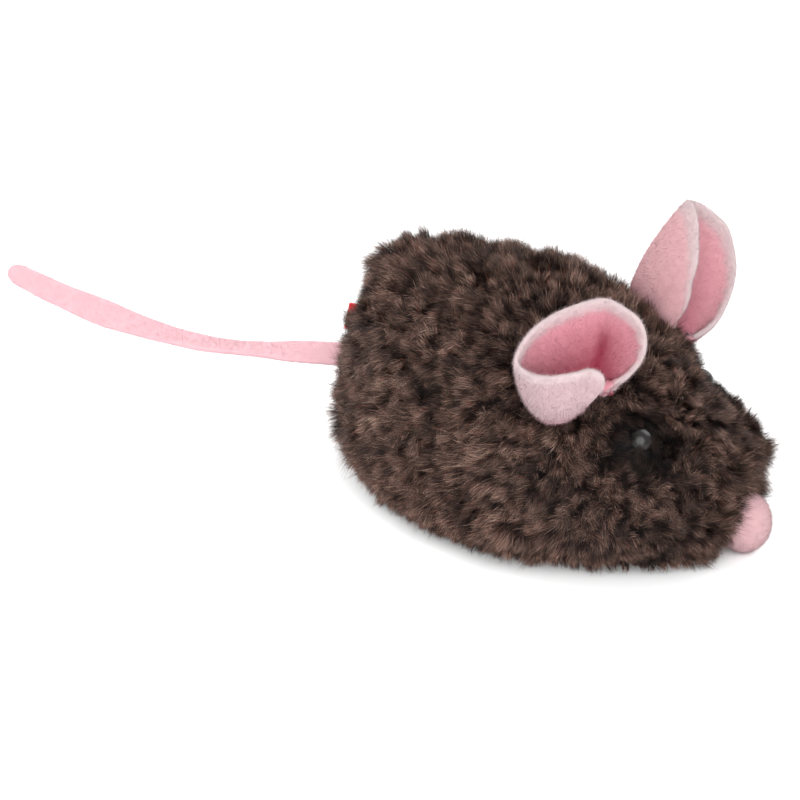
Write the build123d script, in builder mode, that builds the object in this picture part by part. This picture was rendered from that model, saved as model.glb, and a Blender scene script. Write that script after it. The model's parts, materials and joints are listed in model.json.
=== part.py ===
"""Wind-up plush mouse: a fur cover over stuffing, on a clockwork chassis with two drive wheels.

Millimetres. +X points to the nose, +Y to the mouse's own left, +Z up. The origin lies on the
floor, under the middle of the fur body.
"""
from math import acos, atan2, cos, degrees, pi, radians, sin, sqrt, tan
import os

from build123d import *

# ---------------------------------------------------------------- driving dimensions
# Plush cover: outer surface of the cloth and lower pile
BODY_HALF_WIDTH = 35.5
WIDEST_X = 8.0
BODY_REAR = 56.0  # from the widest station back to the rump
BODY_FRONT = 42.0  # from the widest station to the muzzle
BODY_TOP = 56.0
WIDEST_Z = 14.0
RUMP_X = -33.0  # where the back starts to fall to the rump
RUMP_LENGTH = 16.0
MUZZLE_DROP = 30.0
MUZZLE_X = 48.0
HEM_Z = 2.5
HEM_TUCK = 3.0
COVER_THICKNESS = 5.0
SOFT_GAP = 0.15
COVER_STATIONS = (-47.5, -45, -41, -35, -26, -14, 0, 12, 24, 34, 42, 48)
CAVITY_STATIONS = (-42.5, -38, -33, -26, -14, 0, 12, 22, 28, 34, 38, 41, 43)
BACK_STATIONS = (-41.5, -38, -33, -26, -14, 0, 12, 21.8)
HEAD_STATIONS = (22.2, 28, 34, 38, 42)
STUFFING_GAP = 0.8

# Felt and trim
FELT = 1.4
NOSE_RADIUS, NOSE_HALF_HEIGHT, NOSE_AT = 6.0, 7.0, (51.6, 0, 7.3)
EYE_RADIUS, EYE_AT, EYE_FACING = 4.6, (33.4, 17.4, 31.0), (0.55, 0.51, 0.65)
SHANK_RADIUS, SHANK_LENGTH = 1.0, 9.0
WASHER_RADIUS, WASHER_DEPTH, WASHER_THICKNESS = 3.5, 6.6, 1.0
EAR_FOOT = 3.0  # solid foot of an ear, sewn into the cover
TAIL_WIDTH = 6.0
TAIL_ROUTE = ((-45.0, 24.8), (-52.6, 24.4), (-87.3, 18.8), (-118.3, 20.0), (-146.0, 25.9))
LABEL_SIZE, LABEL_AT = (6.0, 1.0, 8.0), (-48.5, 0, 35.0)

# Chassis
PLATE_Z, PLATE_THICKNESS, PLATE_GAP = 3.5, 2.0, 0.4
DECK_Z = PLATE_Z + PLATE_THICKNESS
HEM_WIDTH, ELASTIC_WIDTH = 2.0, 0.8
BOSS_FLOOR, BOSS_HEIGHT, BOSS_LENGTH = 3.0, 5.0, 5.0
SCREW_RADIUS, SCREW_HEAD_RADIUS, SCREW_HEAD = 0.8, 1.6, 1.0

# Clockwork
MODULE, PRESSURE_ANGLE, BACKLASH = 0.5, radians(25), 0.07
ADDENDUM, DEDENDUM = 0.9, 1.15
GREAT_TEETH, PINION_TEETH, WHEEL_TEETH = 42, 12, 36
RUNNING_GAP = 0.05
WINDING_RADIUS, SHAFT_RADIUS = 1.5, 1.0
SHAFT_END, AXLE_END = 10.4, 16.6  # how far the shafts reach from the middle
GREAT_Y, GREAT_THICKNESS, LAY_WHEEL_Y = -1.0, 1.5, -6.5
MOTOR_HALF = 9.0  # inside face of each side plate
SIDE_PLATE = 1.0
HOUSING_WALL = 0.8
HOUSING_ROOM = 0.6
RATCHET_TEETH, RATCHET_TIP, RATCHET_ROOT = 12, 3.6, 2.7
RATCHET_Y, RATCHET_THICKNESS, RATCHET_PHASE = -2.4, 1.2, 92.0
CLICK_PIVOT_RADIUS, CLICK_PIN_RADIUS, CLICK_BOSS, CLICK_LIFT = 7.2, 0.6, 1.4, 0.15
SPRING_CORE, SPRING_OUTER, SPRING_STRIP = 3.0, 9.8, 0.4
SPRING_TURNS = 5
SPRING_Y, SPRING_WIDTH = 1.6, 6.2
KEY_HOLE_RADIUS, KEY_STEM_RADIUS = 3.0, 2.3
KEY_STEM_Y, KEY_WING_Y, KEY_END_Y = 25.0, 33.0, 43.0
KEY_WING_RADIUS, KEY_WING_HOLE, KEY_WING_THICKNESS = 4.8, 2.0, 1.4

# Wheels
AXLE_X, WHEEL_RADIUS, TYRE_DEPTH = -16.0, 10.5, 1.6
WHEEL_Y, WHEEL_WIDTH = 12.0, 4.0
HUB_RADIUS, RIM_RECESS = 2.6, 1.2
FRONT_X, FRONT_RADIUS, FRONT_WIDTH = 28.0, 5.0, 12.0
BOSS_Y, BOSS_WIDTH = 7.4, 3.6

FIRST_CENTRES = MODULE * (WHEEL_TEETH + PINION_TEETH) / 2
SECOND_CENTRES = MODULE * (GREAT_TEETH + PINION_TEETH) / 2
AXLE_AT = (AXLE_X, WHEEL_RADIUS)
FIRST_ANGLE, SECOND_ANGLE = 45.0, 135.0
LAY_AT = (
    AXLE_AT[0] + FIRST_CENTRES * cos(radians(FIRST_ANGLE)),
    AXLE_AT[1] + FIRST_CENTRES * sin(radians(FIRST_ANGLE)),
)
WIND_AT = (
    LAY_AT[0] + SECOND_CENTRES * cos(radians(SECOND_ANGLE)),
    LAY_AT[1] + SECOND_CENTRES * sin(radians(SECOND_ANGLE)),
)
PILLAR_RADIUS, RIVET_RADIUS = 1.25, 0.7
PILLARS = ((-27.0, 12.0), (1.5, 10.5), (-4.0, 37.5), (-29.0, 35.0))
MOTOR_OUTLINE = ((-31.5, DECK_Z), (4.0, DECK_Z), (4.0, 26.0), (-1.5, 41.0), (-26.5, 41.0), (-31.5, 36.5))
FOOT_SCREWS = (-28.5, 1.0)
FOOT_LENGTH, FOOT_DEPTH, FOOT_SCREW_Y = 5.5, 5.5, 6.0

os.makedirs("parts", exist_ok=True)


def save(piece, name):
    """Label a finished piece and write it to its own file."""
    piece.part.label = name
    export_step(piece.part, f"parts/{name}.step")


def side_plane(y):
    """A sketch plane across the mouse at y: sketch X is +X and sketch Y is +Z."""
    return Plane(origin=(0, y, 0), x_dir=(1, 0, 0), z_dir=(0, -1, 0))


def extrude_left(thickness, mode=Mode.ADD):
    """Extrude sketches drawn on a side_plane towards +Y."""
    extrude(amount=-thickness, mode=mode)


# ---------------------------------------------------------------- body shape
def half_width(x):
    """Half the cover's width at station x."""
    if x < WIDEST_X:
        return BODY_HALF_WIDTH * (1 - ((WIDEST_X - x) / BODY_REAR) ** 2) ** 0.6
    run = (x - WIDEST_X) / BODY_FRONT
    return BODY_HALF_WIDTH * (1 - 0.42 * run**1.3) * (1 - run**8) ** 0.4


def top_height(x):
    """Height of the cover's back line at station x."""
    if x < RUMP_X:
        fall = (RUMP_X - x) / RUMP_LENGTH
        return WIDEST_Z + (BODY_TOP - WIDEST_Z) * sqrt(1 - fall**2)
    return BODY_TOP - MUZZLE_DROP * (max(x, 0) / MUZZLE_X) ** 1.2


def body_sections(stations, inset, floor, halves):
    """The body's cross-sections, shrunk by inset; halves is +1 or -1 for one side, 0 for both."""
    side = halves or 1
    sections = []
    for x in stations:
        width, height = half_width(x) - inset, top_height(x) - inset
        foot = width - HEM_TUCK
        with BuildSketch(Plane(origin=(x, 0, 0), x_dir=(0, side, 0), z_dir=(side, 0, 0))) as section:
            with BuildLine():
                Line((0, floor), (foot, floor))
                TangentArc((width, WIDEST_Z), (foot, floor), tangent=(0, -1))
                EllipticalCenterArc((0, WIDEST_Z), width, height - WIDEST_Z, 0, arc_size=90)
                if halves:
                    Line((0, height), (0, floor))
                else:
                    mirror(about=Plane.YZ)
            make_face()
        sections.append(section.sketch.face())
    return sections


def ellipse_section(centre, major, facing, radii):
    """An ellipse by its centre, long direction, facing direction and two radii."""
    with BuildSketch(Plane(origin=centre, x_dir=major, z_dir=facing)) as section:
        Ellipse(*radii)
    return section.sketch.face()


# Each ear is a felt cup: a foot in the cover and a mouth, and the two are curled differently
EARS = {
    "right": dict(
        foot=(19.4, -26.2, 36.0), foot_facing=(0.3, -0.25, 0.92), foot_major=(1, 0, -0.33),
        foot_radii=(6.0, 4.2), mouth=(27.0, -32.0, 58.0), mouth_facing=(0.355, -0.645, 0.677),
        mouth_major=(0.82, 0.57, 0.11), mouth_radii=(13.2, 9.8),
    ),
    "left": dict(
        foot=(19.8, 25.5, 37.5), foot_facing=(0.25, 0.1, 0.96), foot_major=(0.96, 0, -0.25),
        foot_radii=(8.0, 4.5), mouth=(28.2, 27.5, 55.0), mouth_facing=(0.85, -0.4, 0.35),
        mouth_major=(-0.35, 0.05, 0.93), mouth_radii=(14.6, 6.6),
    ),
}


def ear_sections(shape, grow, lift):
    """The foot and mouth of an ear's cone, widened by grow, the foot raised by lift."""
    foot = Vector(*shape["foot"]) + Vector(*shape["foot_facing"]) * lift
    mouth = Vector(*shape["mouth"]) + Vector(*shape["mouth_facing"]) * (0.3 if grow < 0 else 0)
    return [
        ellipse_section(
            place, shape[f"{end}_major"], shape[f"{end}_facing"], [r + grow for r in shape[f"{end}_radii"]]
        )
        for place, end in ((foot, "foot"), (mouth, "mouth"))
    ]


def mirrored(point, side):
    """Give a left-hand point's place on the given side."""
    return (point[0], point[1] * side, point[2])


def nose_ball(grow):
    """The felt nose, a ball a little taller than wide, larger all round by grow."""
    with BuildPart() as ball:
        with BuildSketch(Plane(origin=NOSE_AT, x_dir=(1, 0, 0), z_dir=(0, -1, 0))):
            Ellipse(NOSE_RADIUS + grow, NOSE_HALF_HEIGHT + grow)
            with Locations((-NOSE_HALF_HEIGHT, 0)):
                Rectangle(2 * NOSE_HALF_HEIGHT, 4 * NOSE_HALF_HEIGHT, mode=Mode.SUBTRACT)
        revolve(axis=Axis(NOSE_AT, (0, 0, 1)))
    return ball


def eye_plane(side, depth):
    """The plane that faces out of an eye, sunk by depth."""
    facing = Vector(*mirrored(EYE_FACING, side)).normalized()
    return Plane(origin=Vector(*mirrored(EYE_AT, side)) - facing * depth, z_dir=facing)


# ---------------------------------------------------------------- soft outside
for side, hand in ((1, "left"), (-1, "right")):
    with BuildPart() as cover:
        loft(body_sections(COVER_STATIONS, 0, HEM_Z, side))
        loft(body_sections(CAVITY_STATIONS, COVER_THICKNESS, 0, side), mode=Mode.SUBTRACT)
        loft(ear_sections(EARS[hand], SOFT_GAP, -SOFT_GAP), ruled=True, mode=Mode.SUBTRACT)
        add(nose_ball(SOFT_GAP), mode=Mode.SUBTRACT)
        with Locations(eye_plane(side, 0)):
            Sphere(EYE_RADIUS + SOFT_GAP, mode=Mode.SUBTRACT)
        with Locations(eye_plane(side, SHANK_LENGTH / 2)):
            Cylinder(SHANK_RADIUS, SHANK_LENGTH, mode=Mode.SUBTRACT)
        with Locations((-48, 0, 24.6)):
            Box(12, FELT, TAIL_WIDTH + 1, mode=Mode.SUBTRACT)
        with Locations(LABEL_AT):
            Box(*LABEL_SIZE, mode=Mode.SUBTRACT)
        if side > 0:
            with BuildSketch(side_plane(0)):
                with Locations(WIND_AT):
                    Circle(KEY_HOLE_RADIUS)
            extrude_left(BODY_HALF_WIDTH, Mode.SUBTRACT)
    save(cover, f"cover_{hand}")

    with BuildPart() as ear:
        loft(ear_sections(EARS[hand], 0, 0), ruled=True)
        loft(ear_sections(EARS[hand], -FELT, EAR_FOOT), ruled=True, mode=Mode.SUBTRACT)
    save(ear, f"ear_{hand}")

    with BuildPart() as eye:
        with Locations(eye_plane(side, 0)):
            Sphere(EYE_RADIUS)
        with Locations(eye_plane(side, SHANK_LENGTH / 2)):
            Cylinder(SHANK_RADIUS, SHANK_LENGTH)
    save(eye, f"eye_{hand}")

    with BuildPart() as washer:
        with BuildSketch(eye_plane(side, WASHER_DEPTH)):
            Circle(WASHER_RADIUS)
            Circle(SHANK_RADIUS, mode=Mode.SUBTRACT)
        extrude(amount=-WASHER_THICKNESS)
    save(washer, f"eye_washer_{hand}")

with BuildPart() as tail:
    with BuildSketch(side_plane(-FELT / 2)):
        with BuildLine() as route:
            Spline(*TAIL_ROUTE)
        trace(line_width=TAIL_WIDTH)
        with Locations(TAIL_ROUTE[-1]):
            Circle(TAIL_WIDTH / 2)
    extrude_left(FELT)
save(tail, "tail")

nose = nose_ball(0)
save(nose, "nose")

with BuildPart() as label:
    with Locations(LABEL_AT):
        Box(*LABEL_SIZE)
save(label, "label")

# ---------------------------------------------------------------- base plate and hem
def plate_outline(inset):
    """The oval plan of the body's cavity, shrunk by inset, at the height of the base plate."""
    stations = (CAVITY_STATIONS[0] + inset, -33, -14, 12, 32, CAVITY_STATIONS[-1] - inset)
    reach = COVER_THICKNESS + HEM_TUCK + inset
    with BuildSketch(Plane.XY.offset(PLATE_Z)) as plan:
        with BuildLine():
            rim = Spline(*[(x, half_width(x) - reach) for x in stations])
            Line(rim @ 0, (stations[0], 0))
            Line(rim @ 1, (stations[-1], 0))
            mirror(about=Plane.XZ)
        make_face()
    return plan.sketch


with BuildPart() as base_plate:
    add(plate_outline(PLATE_GAP))
    extrude(amount=PLATE_THICKNESS)
    with BuildSketch(Plane.XY.offset(PLATE_Z)):
        for side in (1, -1):
            with Locations((AXLE_X, side * (WHEEL_Y + WHEEL_WIDTH / 2))):
                Rectangle(2 * WHEEL_RADIUS + 1, WHEEL_WIDTH + 1.6)
        with Locations((FRONT_X, 0)):
            Rectangle(2 * FRONT_RADIUS + 1.6, FRONT_WIDTH + 1.6)
    extrude(amount=PLATE_THICKNESS, mode=Mode.SUBTRACT)
    with BuildSketch(Plane.XY.offset(BOSS_FLOOR)):
        for side in (1, -1):
            with Locations((FRONT_X, side * (BOSS_Y + BOSS_WIDTH / 2))):
                Rectangle(BOSS_LENGTH, BOSS_WIDTH)
    extrude(amount=BOSS_HEIGHT)
    with BuildSketch(side_plane(-BODY_HALF_WIDTH / 2)):
        with Locations((FRONT_X, FRONT_RADIUS)):
            Circle(SHAFT_RADIUS + RUNNING_GAP)
    extrude_left(BODY_HALF_WIDTH, Mode.SUBTRACT)
    with BuildSketch(Plane.XY.offset(PLATE_Z)):
        with Locations([(x, side * FOOT_SCREW_Y) for x in FOOT_SCREWS for side in (1, -1)]):
            Circle(SCREW_RADIUS + 0.1)
    extrude(amount=PLATE_THICKNESS, mode=Mode.SUBTRACT)
save(base_plate, "base_plate")


with BuildPart() as hem:
    add(plate_outline(PLATE_GAP))
    extrude(amount=HEM_Z - PLATE_Z)
    add(plate_outline(PLATE_GAP + HEM_WIDTH))
    extrude(amount=HEM_Z - PLATE_Z, mode=Mode.SUBTRACT)
save(hem, "hem")

with BuildPart() as hem_elastic:
    add(plate_outline(PLATE_GAP + HEM_WIDTH))
    extrude(amount=HEM_Z - PLATE_Z)
    add(plate_outline(PLATE_GAP + HEM_WIDTH + ELASTIC_WIDTH))
    extrude(amount=HEM_Z - PLATE_Z, mode=Mode.SUBTRACT)
save(hem_elastic, "hem_elastic")


# ---------------------------------------------------------------- gears
def involute(angle):
    """The involute function of a pressure angle."""
    return tan(angle) - angle


def polar(centre, radius, angle):
    """The point at a radius and an angle in radians from a centre."""
    return (centre[0] + radius * cos(angle), centre[1] + radius * sin(angle))


def gear(teeth, centre, facing, bore, y, thickness):
    """A spur gear from y to y + thickness, with the middle of a tooth facing that many degrees."""
    pitch = MODULE * teeth / 2
    base, tip, root = pitch * cos(PRESSURE_ANGLE), pitch + ADDENDUM * MODULE, pitch - DEDENDUM * MODULE
    start = max(root, base)
    middle = (start + tip) / 2
    pitch_half = (pi * MODULE / 2 - BACKLASH) / (2 * pitch)
    low, half, high = (
        pitch_half + involute(PRESSURE_ANGLE) - involute(acos(min(base / radius, 1)))
        for radius in (start, middle, tip)
    )
    step = 2 * pi / teeth
    with BuildPart() as made:
        with BuildSketch(side_plane(y)):
            with BuildLine():
                for tooth in range(teeth):
                    mid = radians(facing) + tooth * step
                    rise = [polar(centre, r, mid - a) for r, a in ((start, low), (middle, half), (tip, high))]
                    fall = [polar(centre, r, mid + a) for r, a in ((tip, high), (middle, half), (start, low))]
                    floor = [polar(centre, root, mid + low), polar(centre, root, mid + step - low)]
                    next_rise = polar(centre, start, mid + step - low)
                    ThreePointArc(*rise)
                    Line(rise[-1], fall[0])
                    ThreePointArc(*fall)
                    if root < start:
                        Polyline(fall[-1], *floor, next_rise)
                    else:
                        Line(fall[-1], next_rise)
            make_face()
            with Locations(centre):
                Circle(bore, mode=Mode.SUBTRACT)
        extrude_left(thickness)
    return made


def disc(centre, y, thickness, radius, mode=Mode.ADD):
    """A cylinder along Y from y to y + thickness, inside a part, at an (X, Z) centre."""
    with Locations(Location((centre[0], y + thickness / 2, centre[1]), (90, 0, 0))):
        Cylinder(radius, thickness, mode=mode)


def on_wheel(x, z):
    """A point given from the winding arbor's centre, in the side plane."""
    return (WIND_AT[0] + x, WIND_AT[1] + z)


CLICK_PIVOT = on_wheel(CLICK_PIVOT_RADIUS * cos(pi / 6), CLICK_PIVOT_RADIUS * sin(pi / 6))

# Each driver has a tooth facing the next shaft; each driven gear has a gap facing back
great_wheel = gear(
    GREAT_TEETH, WIND_AT, SECOND_ANGLE + 180, WINDING_RADIUS + RUNNING_GAP, GREAT_Y, GREAT_THICKNESS
)
with great_wheel:
    disc(CLICK_PIVOT, GREAT_Y, GREAT_THICKNESS, CLICK_PIN_RADIUS, Mode.SUBTRACT)
save(great_wheel, "great_wheel")

lay_pinion = gear(
    PINION_TEETH, LAY_AT, SECOND_ANGLE + 180 / PINION_TEETH, SHAFT_RADIUS, GREAT_Y - 0.3, GREAT_THICKNESS + 0.6
)
save(lay_pinion, "lay_pinion")

lay_wheel = gear(WHEEL_TEETH, LAY_AT, FIRST_ANGLE + 180, SHAFT_RADIUS, LAY_WHEEL_Y, GREAT_THICKNESS)
save(lay_wheel, "lay_wheel")

axle_pinion = gear(
    PINION_TEETH, AXLE_AT, FIRST_ANGLE + 180 / PINION_TEETH, SHAFT_RADIUS, LAY_WHEEL_Y - 0.5, GREAT_THICKNESS + 1
)
save(axle_pinion, "axle_pinion")

# ---------------------------------------------------------------- winding arbor, ratchet and spring
with BuildPart() as winding_arbor:
    disc(WIND_AT, -SHAFT_END, SHAFT_END + KEY_WING_Y, WINDING_RADIUS)
    disc(WIND_AT, SPRING_Y, SPRING_WIDTH, SPRING_CORE)
save(winding_arbor, "winding_arbor")

with BuildPart() as ratchet_wheel:
    with BuildSketch(side_plane(RATCHET_Y)):
        with BuildLine():
            for tooth in range(RATCHET_TEETH):
                face = radians(RATCHET_PHASE + 360 / RATCHET_TEETH * tooth)
                next_face = face + 2 * pi / RATCHET_TEETH
                Polyline(
                    polar(WIND_AT, RATCHET_ROOT, face),
                    polar(WIND_AT, RATCHET_TIP, face),
                    polar(WIND_AT, RATCHET_ROOT, next_face),
                )
        make_face()
        with Locations(WIND_AT):
            Circle(WINDING_RADIUS, mode=Mode.SUBTRACT)
    extrude_left(RATCHET_THICKNESS)
save(ratchet_wheel, "ratchet_wheel")

# The click is drawn lifted just clear of the ratchet's tips; its hinge lets it drop in
with BuildPart() as click:
    with BuildSketch(side_plane(RATCHET_Y)):
        with BuildLine():
            Polyline(
                on_wheel(0, RATCHET_TIP + CLICK_LIFT),
                on_wheel(0, RATCHET_TIP + 1.9),
                on_wheel(6.2, RATCHET_TIP + 1.4),
                on_wheel(5.6, RATCHET_TIP - 0.9),
                on_wheel(1.5, RATCHET_TIP + 1.0),
                close=True,
            )
        make_face()
        with Locations(CLICK_PIVOT):
            Circle(CLICK_BOSS)
            Circle(CLICK_PIN_RADIUS + RUNNING_GAP, mode=Mode.SUBTRACT)
    extrude_left(RATCHET_THICKNESS)
save(click, "click")

with BuildPart() as click_pin:
    disc(CLICK_PIVOT, RATCHET_Y, GREAT_Y + GREAT_THICKNESS - RATCHET_Y, CLICK_PIN_RADIUS)
save(click_pin, "click_pin")

with BuildPart() as click_spring:
    with BuildSketch(side_plane(RATCHET_Y)):
        with BuildLine():
            Line(on_wheel(-4.2, 6.9), on_wheel(2.2, 5.75))
        trace(line_width=0.25)
        with Locations(on_wheel(-4.2, 6.9)):
            Circle(0.7)
    extrude_left(GREAT_Y - RATCHET_Y)
save(click_spring, "click_spring")

# The strip runs outward clockwise seen along +Y, so winding the arbor the other way tightens it
post_x, post_z = PILLARS[-1][0] - WIND_AT[0], PILLARS[-1][1] - WIND_AT[1]
post_reach = sqrt(post_x**2 + post_z**2)
spring_end = pi + atan2(-post_z, -post_x) + acos(SPRING_OUTER / post_reach)
spring_steps = SPRING_TURNS * 12


def spiral(shift):
    """Points along the mainspring's coil, moved out from its middle line by shift."""
    points = []
    for step in range(spring_steps + 1):
        share = step / spring_steps
        radius = SPRING_CORE + SPRING_STRIP / 2 + (SPRING_OUTER - SPRING_CORE - SPRING_STRIP / 2) * share
        points.append(polar(WIND_AT, radius + shift, spring_end + 2 * pi * SPRING_TURNS * (1 - share)))
    return points


with BuildPart() as mainspring:
    with BuildSketch(side_plane(SPRING_Y)):
        with BuildLine():
            outer, inner = Spline(*spiral(SPRING_STRIP / 2)), Spline(*spiral(-SPRING_STRIP / 2))
            Line(outer @ 0, inner @ 0)
            Line(outer @ 1, inner @ 1)
        make_face()
        with BuildLine():
            tail_start = polar(WIND_AT, SPRING_OUTER, spring_end)
            tail_run = sqrt(post_reach**2 - SPRING_OUTER**2) - PILLAR_RADIUS
            PolarLine(tail_start, tail_run, degrees(spring_end) - 90)
        trace(line_width=SPRING_STRIP)
    extrude_left(SPRING_WIDTH)
save(mainspring, "mainspring")

with BuildPart() as key:
    disc(WIND_AT, KEY_STEM_Y, KEY_WING_Y - KEY_STEM_Y + 1, KEY_STEM_RADIUS)
    with BuildSketch(Plane.XY.offset(WIND_AT[1] - KEY_WING_THICKNESS / 2)):
        wing_y = (KEY_WING_Y + KEY_END_Y) / 2
        with Locations((WIND_AT[0], wing_y - 1)):
            RectangleRounded(2 * KEY_STEM_RADIUS, KEY_END_Y - KEY_WING_Y - 2, 1)
        wings = [(WIND_AT[0] + side * (KEY_WING_RADIUS + 0.7), wing_y) for side in (1, -1)]
        with Locations(wings):
            Circle(KEY_WING_RADIUS)
            Circle(KEY_WING_HOLE, mode=Mode.SUBTRACT)
    extrude(amount=KEY_WING_THICKNESS)
    disc(WIND_AT, KEY_STEM_Y, KEY_WING_Y - KEY_STEM_Y, WINDING_RADIUS, Mode.SUBTRACT)
save(key, "key")

# ---------------------------------------------------------------- shafts and wheels
with BuildPart() as lay_arbor:
    disc(LAY_AT, -SHAFT_END, 2 * SHAFT_END, SHAFT_RADIUS)
save(lay_arbor, "lay_arbor")

with BuildPart() as drive_axle:
    disc(AXLE_AT, -AXLE_END, 2 * AXLE_END, SHAFT_RADIUS)
save(drive_axle, "drive_axle")

rim_radius = WHEEL_RADIUS - TYRE_DEPTH
for side, hand in ((1, "left"), (-1, "right")):
    inner_y = WHEEL_Y if side > 0 else -WHEEL_Y - WHEEL_WIDTH
    recess_y = WHEEL_Y + WHEEL_WIDTH - RIM_RECESS if side > 0 else inner_y
    with BuildPart() as wheel:
        disc(AXLE_AT, inner_y, WHEEL_WIDTH, rim_radius)
        with BuildSketch(side_plane(recess_y)):
            with Locations(AXLE_AT):
                Circle(rim_radius - RIM_RECESS)
                Circle(HUB_RADIUS, mode=Mode.SUBTRACT)
        extrude_left(RIM_RECESS, Mode.SUBTRACT)
        disc(AXLE_AT, inner_y, WHEEL_WIDTH, SHAFT_RADIUS, Mode.SUBTRACT)
    save(wheel, f"wheel_{hand}")

    with BuildPart() as tyre:
        disc(AXLE_AT, inner_y, WHEEL_WIDTH, WHEEL_RADIUS)
        disc(AXLE_AT, inner_y, WHEEL_WIDTH, rim_radius, Mode.SUBTRACT)
    save(tyre, f"tyre_{hand}")

front_at = (FRONT_X, FRONT_RADIUS)
with BuildPart() as front_roller:
    disc(front_at, -FRONT_WIDTH / 2, FRONT_WIDTH, FRONT_RADIUS)
    disc(front_at, -FRONT_WIDTH / 2, FRONT_WIDTH, SHAFT_RADIUS, Mode.SUBTRACT)
save(front_roller, "front_roller")

with BuildPart() as front_axle:
    disc(front_at, -BOSS_Y - BOSS_WIDTH, 2 * (BOSS_Y + BOSS_WIDTH), SHAFT_RADIUS)
save(front_axle, "front_axle")

# ---------------------------------------------------------------- motor frame
for side, hand in ((1, "left"), (-1, "right")):
    inner_y = MOTOR_HALF if side > 0 else -MOTOR_HALF - SIDE_PLATE
    with BuildPart() as side_plate:
        with BuildSketch(side_plane(inner_y)):
            with BuildLine():
                Polyline(*MOTOR_OUTLINE, close=True)
            make_face()
            with Locations(WIND_AT):
                Circle(WINDING_RADIUS + RUNNING_GAP, mode=Mode.SUBTRACT)
            with Locations(LAY_AT, AXLE_AT):
                Circle(SHAFT_RADIUS + RUNNING_GAP, mode=Mode.SUBTRACT)
            with Locations(*PILLARS):
                Circle(RIVET_RADIUS, mode=Mode.SUBTRACT)
        extrude_left(SIDE_PLATE)
        with BuildSketch(Plane.XY.offset(DECK_Z)):
            with Locations([(x, side * (MOTOR_HALF - FOOT_DEPTH / 2)) for x in FOOT_SCREWS]):
                Rectangle(FOOT_LENGTH, FOOT_DEPTH)
            with Locations([(x, side * FOOT_SCREW_Y) for x in FOOT_SCREWS]):
                Circle(SCREW_RADIUS, mode=Mode.SUBTRACT)
        extrude(amount=SIDE_PLATE)
    save(side_plate, f"side_plate_{hand}")

with BuildPart() as pillars:
    for place in PILLARS:
        disc(place, -MOTOR_HALF, 2 * MOTOR_HALF, PILLAR_RADIUS)
        disc(place, -MOTOR_HALF - SIDE_PLATE, 2 * (MOTOR_HALF + SIDE_PLATE), RIVET_RADIUS)
save(pillars, "pillars")

with BuildPart() as foot_screws:
    places = [(x, side * FOOT_SCREW_Y) for x in FOOT_SCREWS for side in (1, -1)]
    with BuildSketch(Plane.XY.offset(PLATE_Z)):
        with Locations(places):
            Circle(SCREW_RADIUS)
    extrude(amount=PLATE_THICKNESS + 2 * SIDE_PLATE)
    with BuildSketch(Plane.XY.offset(PLATE_Z)):
        with Locations(places):
            Circle(SCREW_HEAD_RADIUS)
    extrude(amount=-SCREW_HEAD)
save(foot_screws, "foot_screws")


def housing_shape(room, mode=Mode.ADD):
    """The motor's cover, grown by room: a box over the side plates and an arch over each wheel."""
    half = MOTOR_HALF + SIDE_PLATE + room
    with BuildSketch(side_plane(-half)) as box:
        with BuildLine():
            Polyline(*MOTOR_OUTLINE, close=True)
        make_face()
        offset(amount=room, kind=Kind.INTERSECTION)
    arch_half = WHEEL_Y + WHEEL_WIDTH + room
    with BuildSketch(side_plane(-arch_half)) as arch:
        with Locations(AXLE_AT):
            Circle(WHEEL_RADIUS + room)
        with Locations((AXLE_X, WHEEL_RADIUS / 2)):
            Rectangle(2 * (WHEEL_RADIUS + room), WHEEL_RADIUS)
    extrude(box.sketch, amount=-2 * half, mode=mode)
    extrude(arch.sketch, amount=-2 * arch_half, mode=mode)


with BuildPart() as motor_cover:
    housing_shape(HOUSING_ROOM + HOUSING_WALL)
    housing_shape(HOUSING_ROOM, Mode.SUBTRACT)
    disc(WIND_AT, 0, BODY_HALF_WIDTH, WINDING_RADIUS + 0.5, Mode.SUBTRACT)
    split(bisect_by=Plane.XY.offset(DECK_Z), keep=Keep.TOP)
save(motor_cover, "motor_cover")

# ---------------------------------------------------------------- stuffing
with BuildPart() as back_stuffing:
    loft(body_sections(BACK_STATIONS, COVER_THICKNESS + STUFFING_GAP, DECK_Z, 0))
    housing_shape(HOUSING_ROOM + HOUSING_WALL + SOFT_GAP, Mode.SUBTRACT)
    disc(WIND_AT, 0, BODY_HALF_WIDTH, KEY_HOLE_RADIUS, Mode.SUBTRACT)
save(back_stuffing, "back_stuffing")

with BuildPart() as head_stuffing:
    loft(body_sections(HEAD_STATIONS, COVER_THICKNESS + STUFFING_GAP, 2 * FRONT_RADIUS + STUFFING_GAP, 0))
    for side in (1, -1):
        with Locations(eye_plane(side, 0)):
            Sphere(EYE_RADIUS + SOFT_GAP, mode=Mode.SUBTRACT)
        with BuildSketch(eye_plane(side, WASHER_DEPTH - SOFT_GAP)):
            Circle(WASHER_RADIUS + SOFT_GAP)
        extrude(amount=-WASHER_THICKNESS - 2 * SOFT_GAP, mode=Mode.SUBTRACT)
        with Locations(eye_plane(side, SHANK_LENGTH / 2)):
            Cylinder(SHANK_RADIUS + SOFT_GAP, SHANK_LENGTH + 2 * SOFT_GAP, mode=Mode.SUBTRACT)
save(head_stuffing, "head_stuffing")
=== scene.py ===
"""Looks of a wind-up plush mouse: shaggy fur, pink felt, bead eyes, and the clockwork underneath.

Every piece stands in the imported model's frame, in metres: +X is the nose's direction, +Y the
mouse's own left and +Z up. Shapes are functions of two parameters, worked out as whole arrays.
"""
import json
import logging
from dataclasses import dataclass, field
from enum import Enum
from math import cos, pi, radians, sin, sqrt

import bpy
import numpy as np
from bpy.types import ID, ColorRamp, Material, Mesh, NodeSocket, Object
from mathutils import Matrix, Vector
from numpy.random import Generator, default_rng


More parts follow.
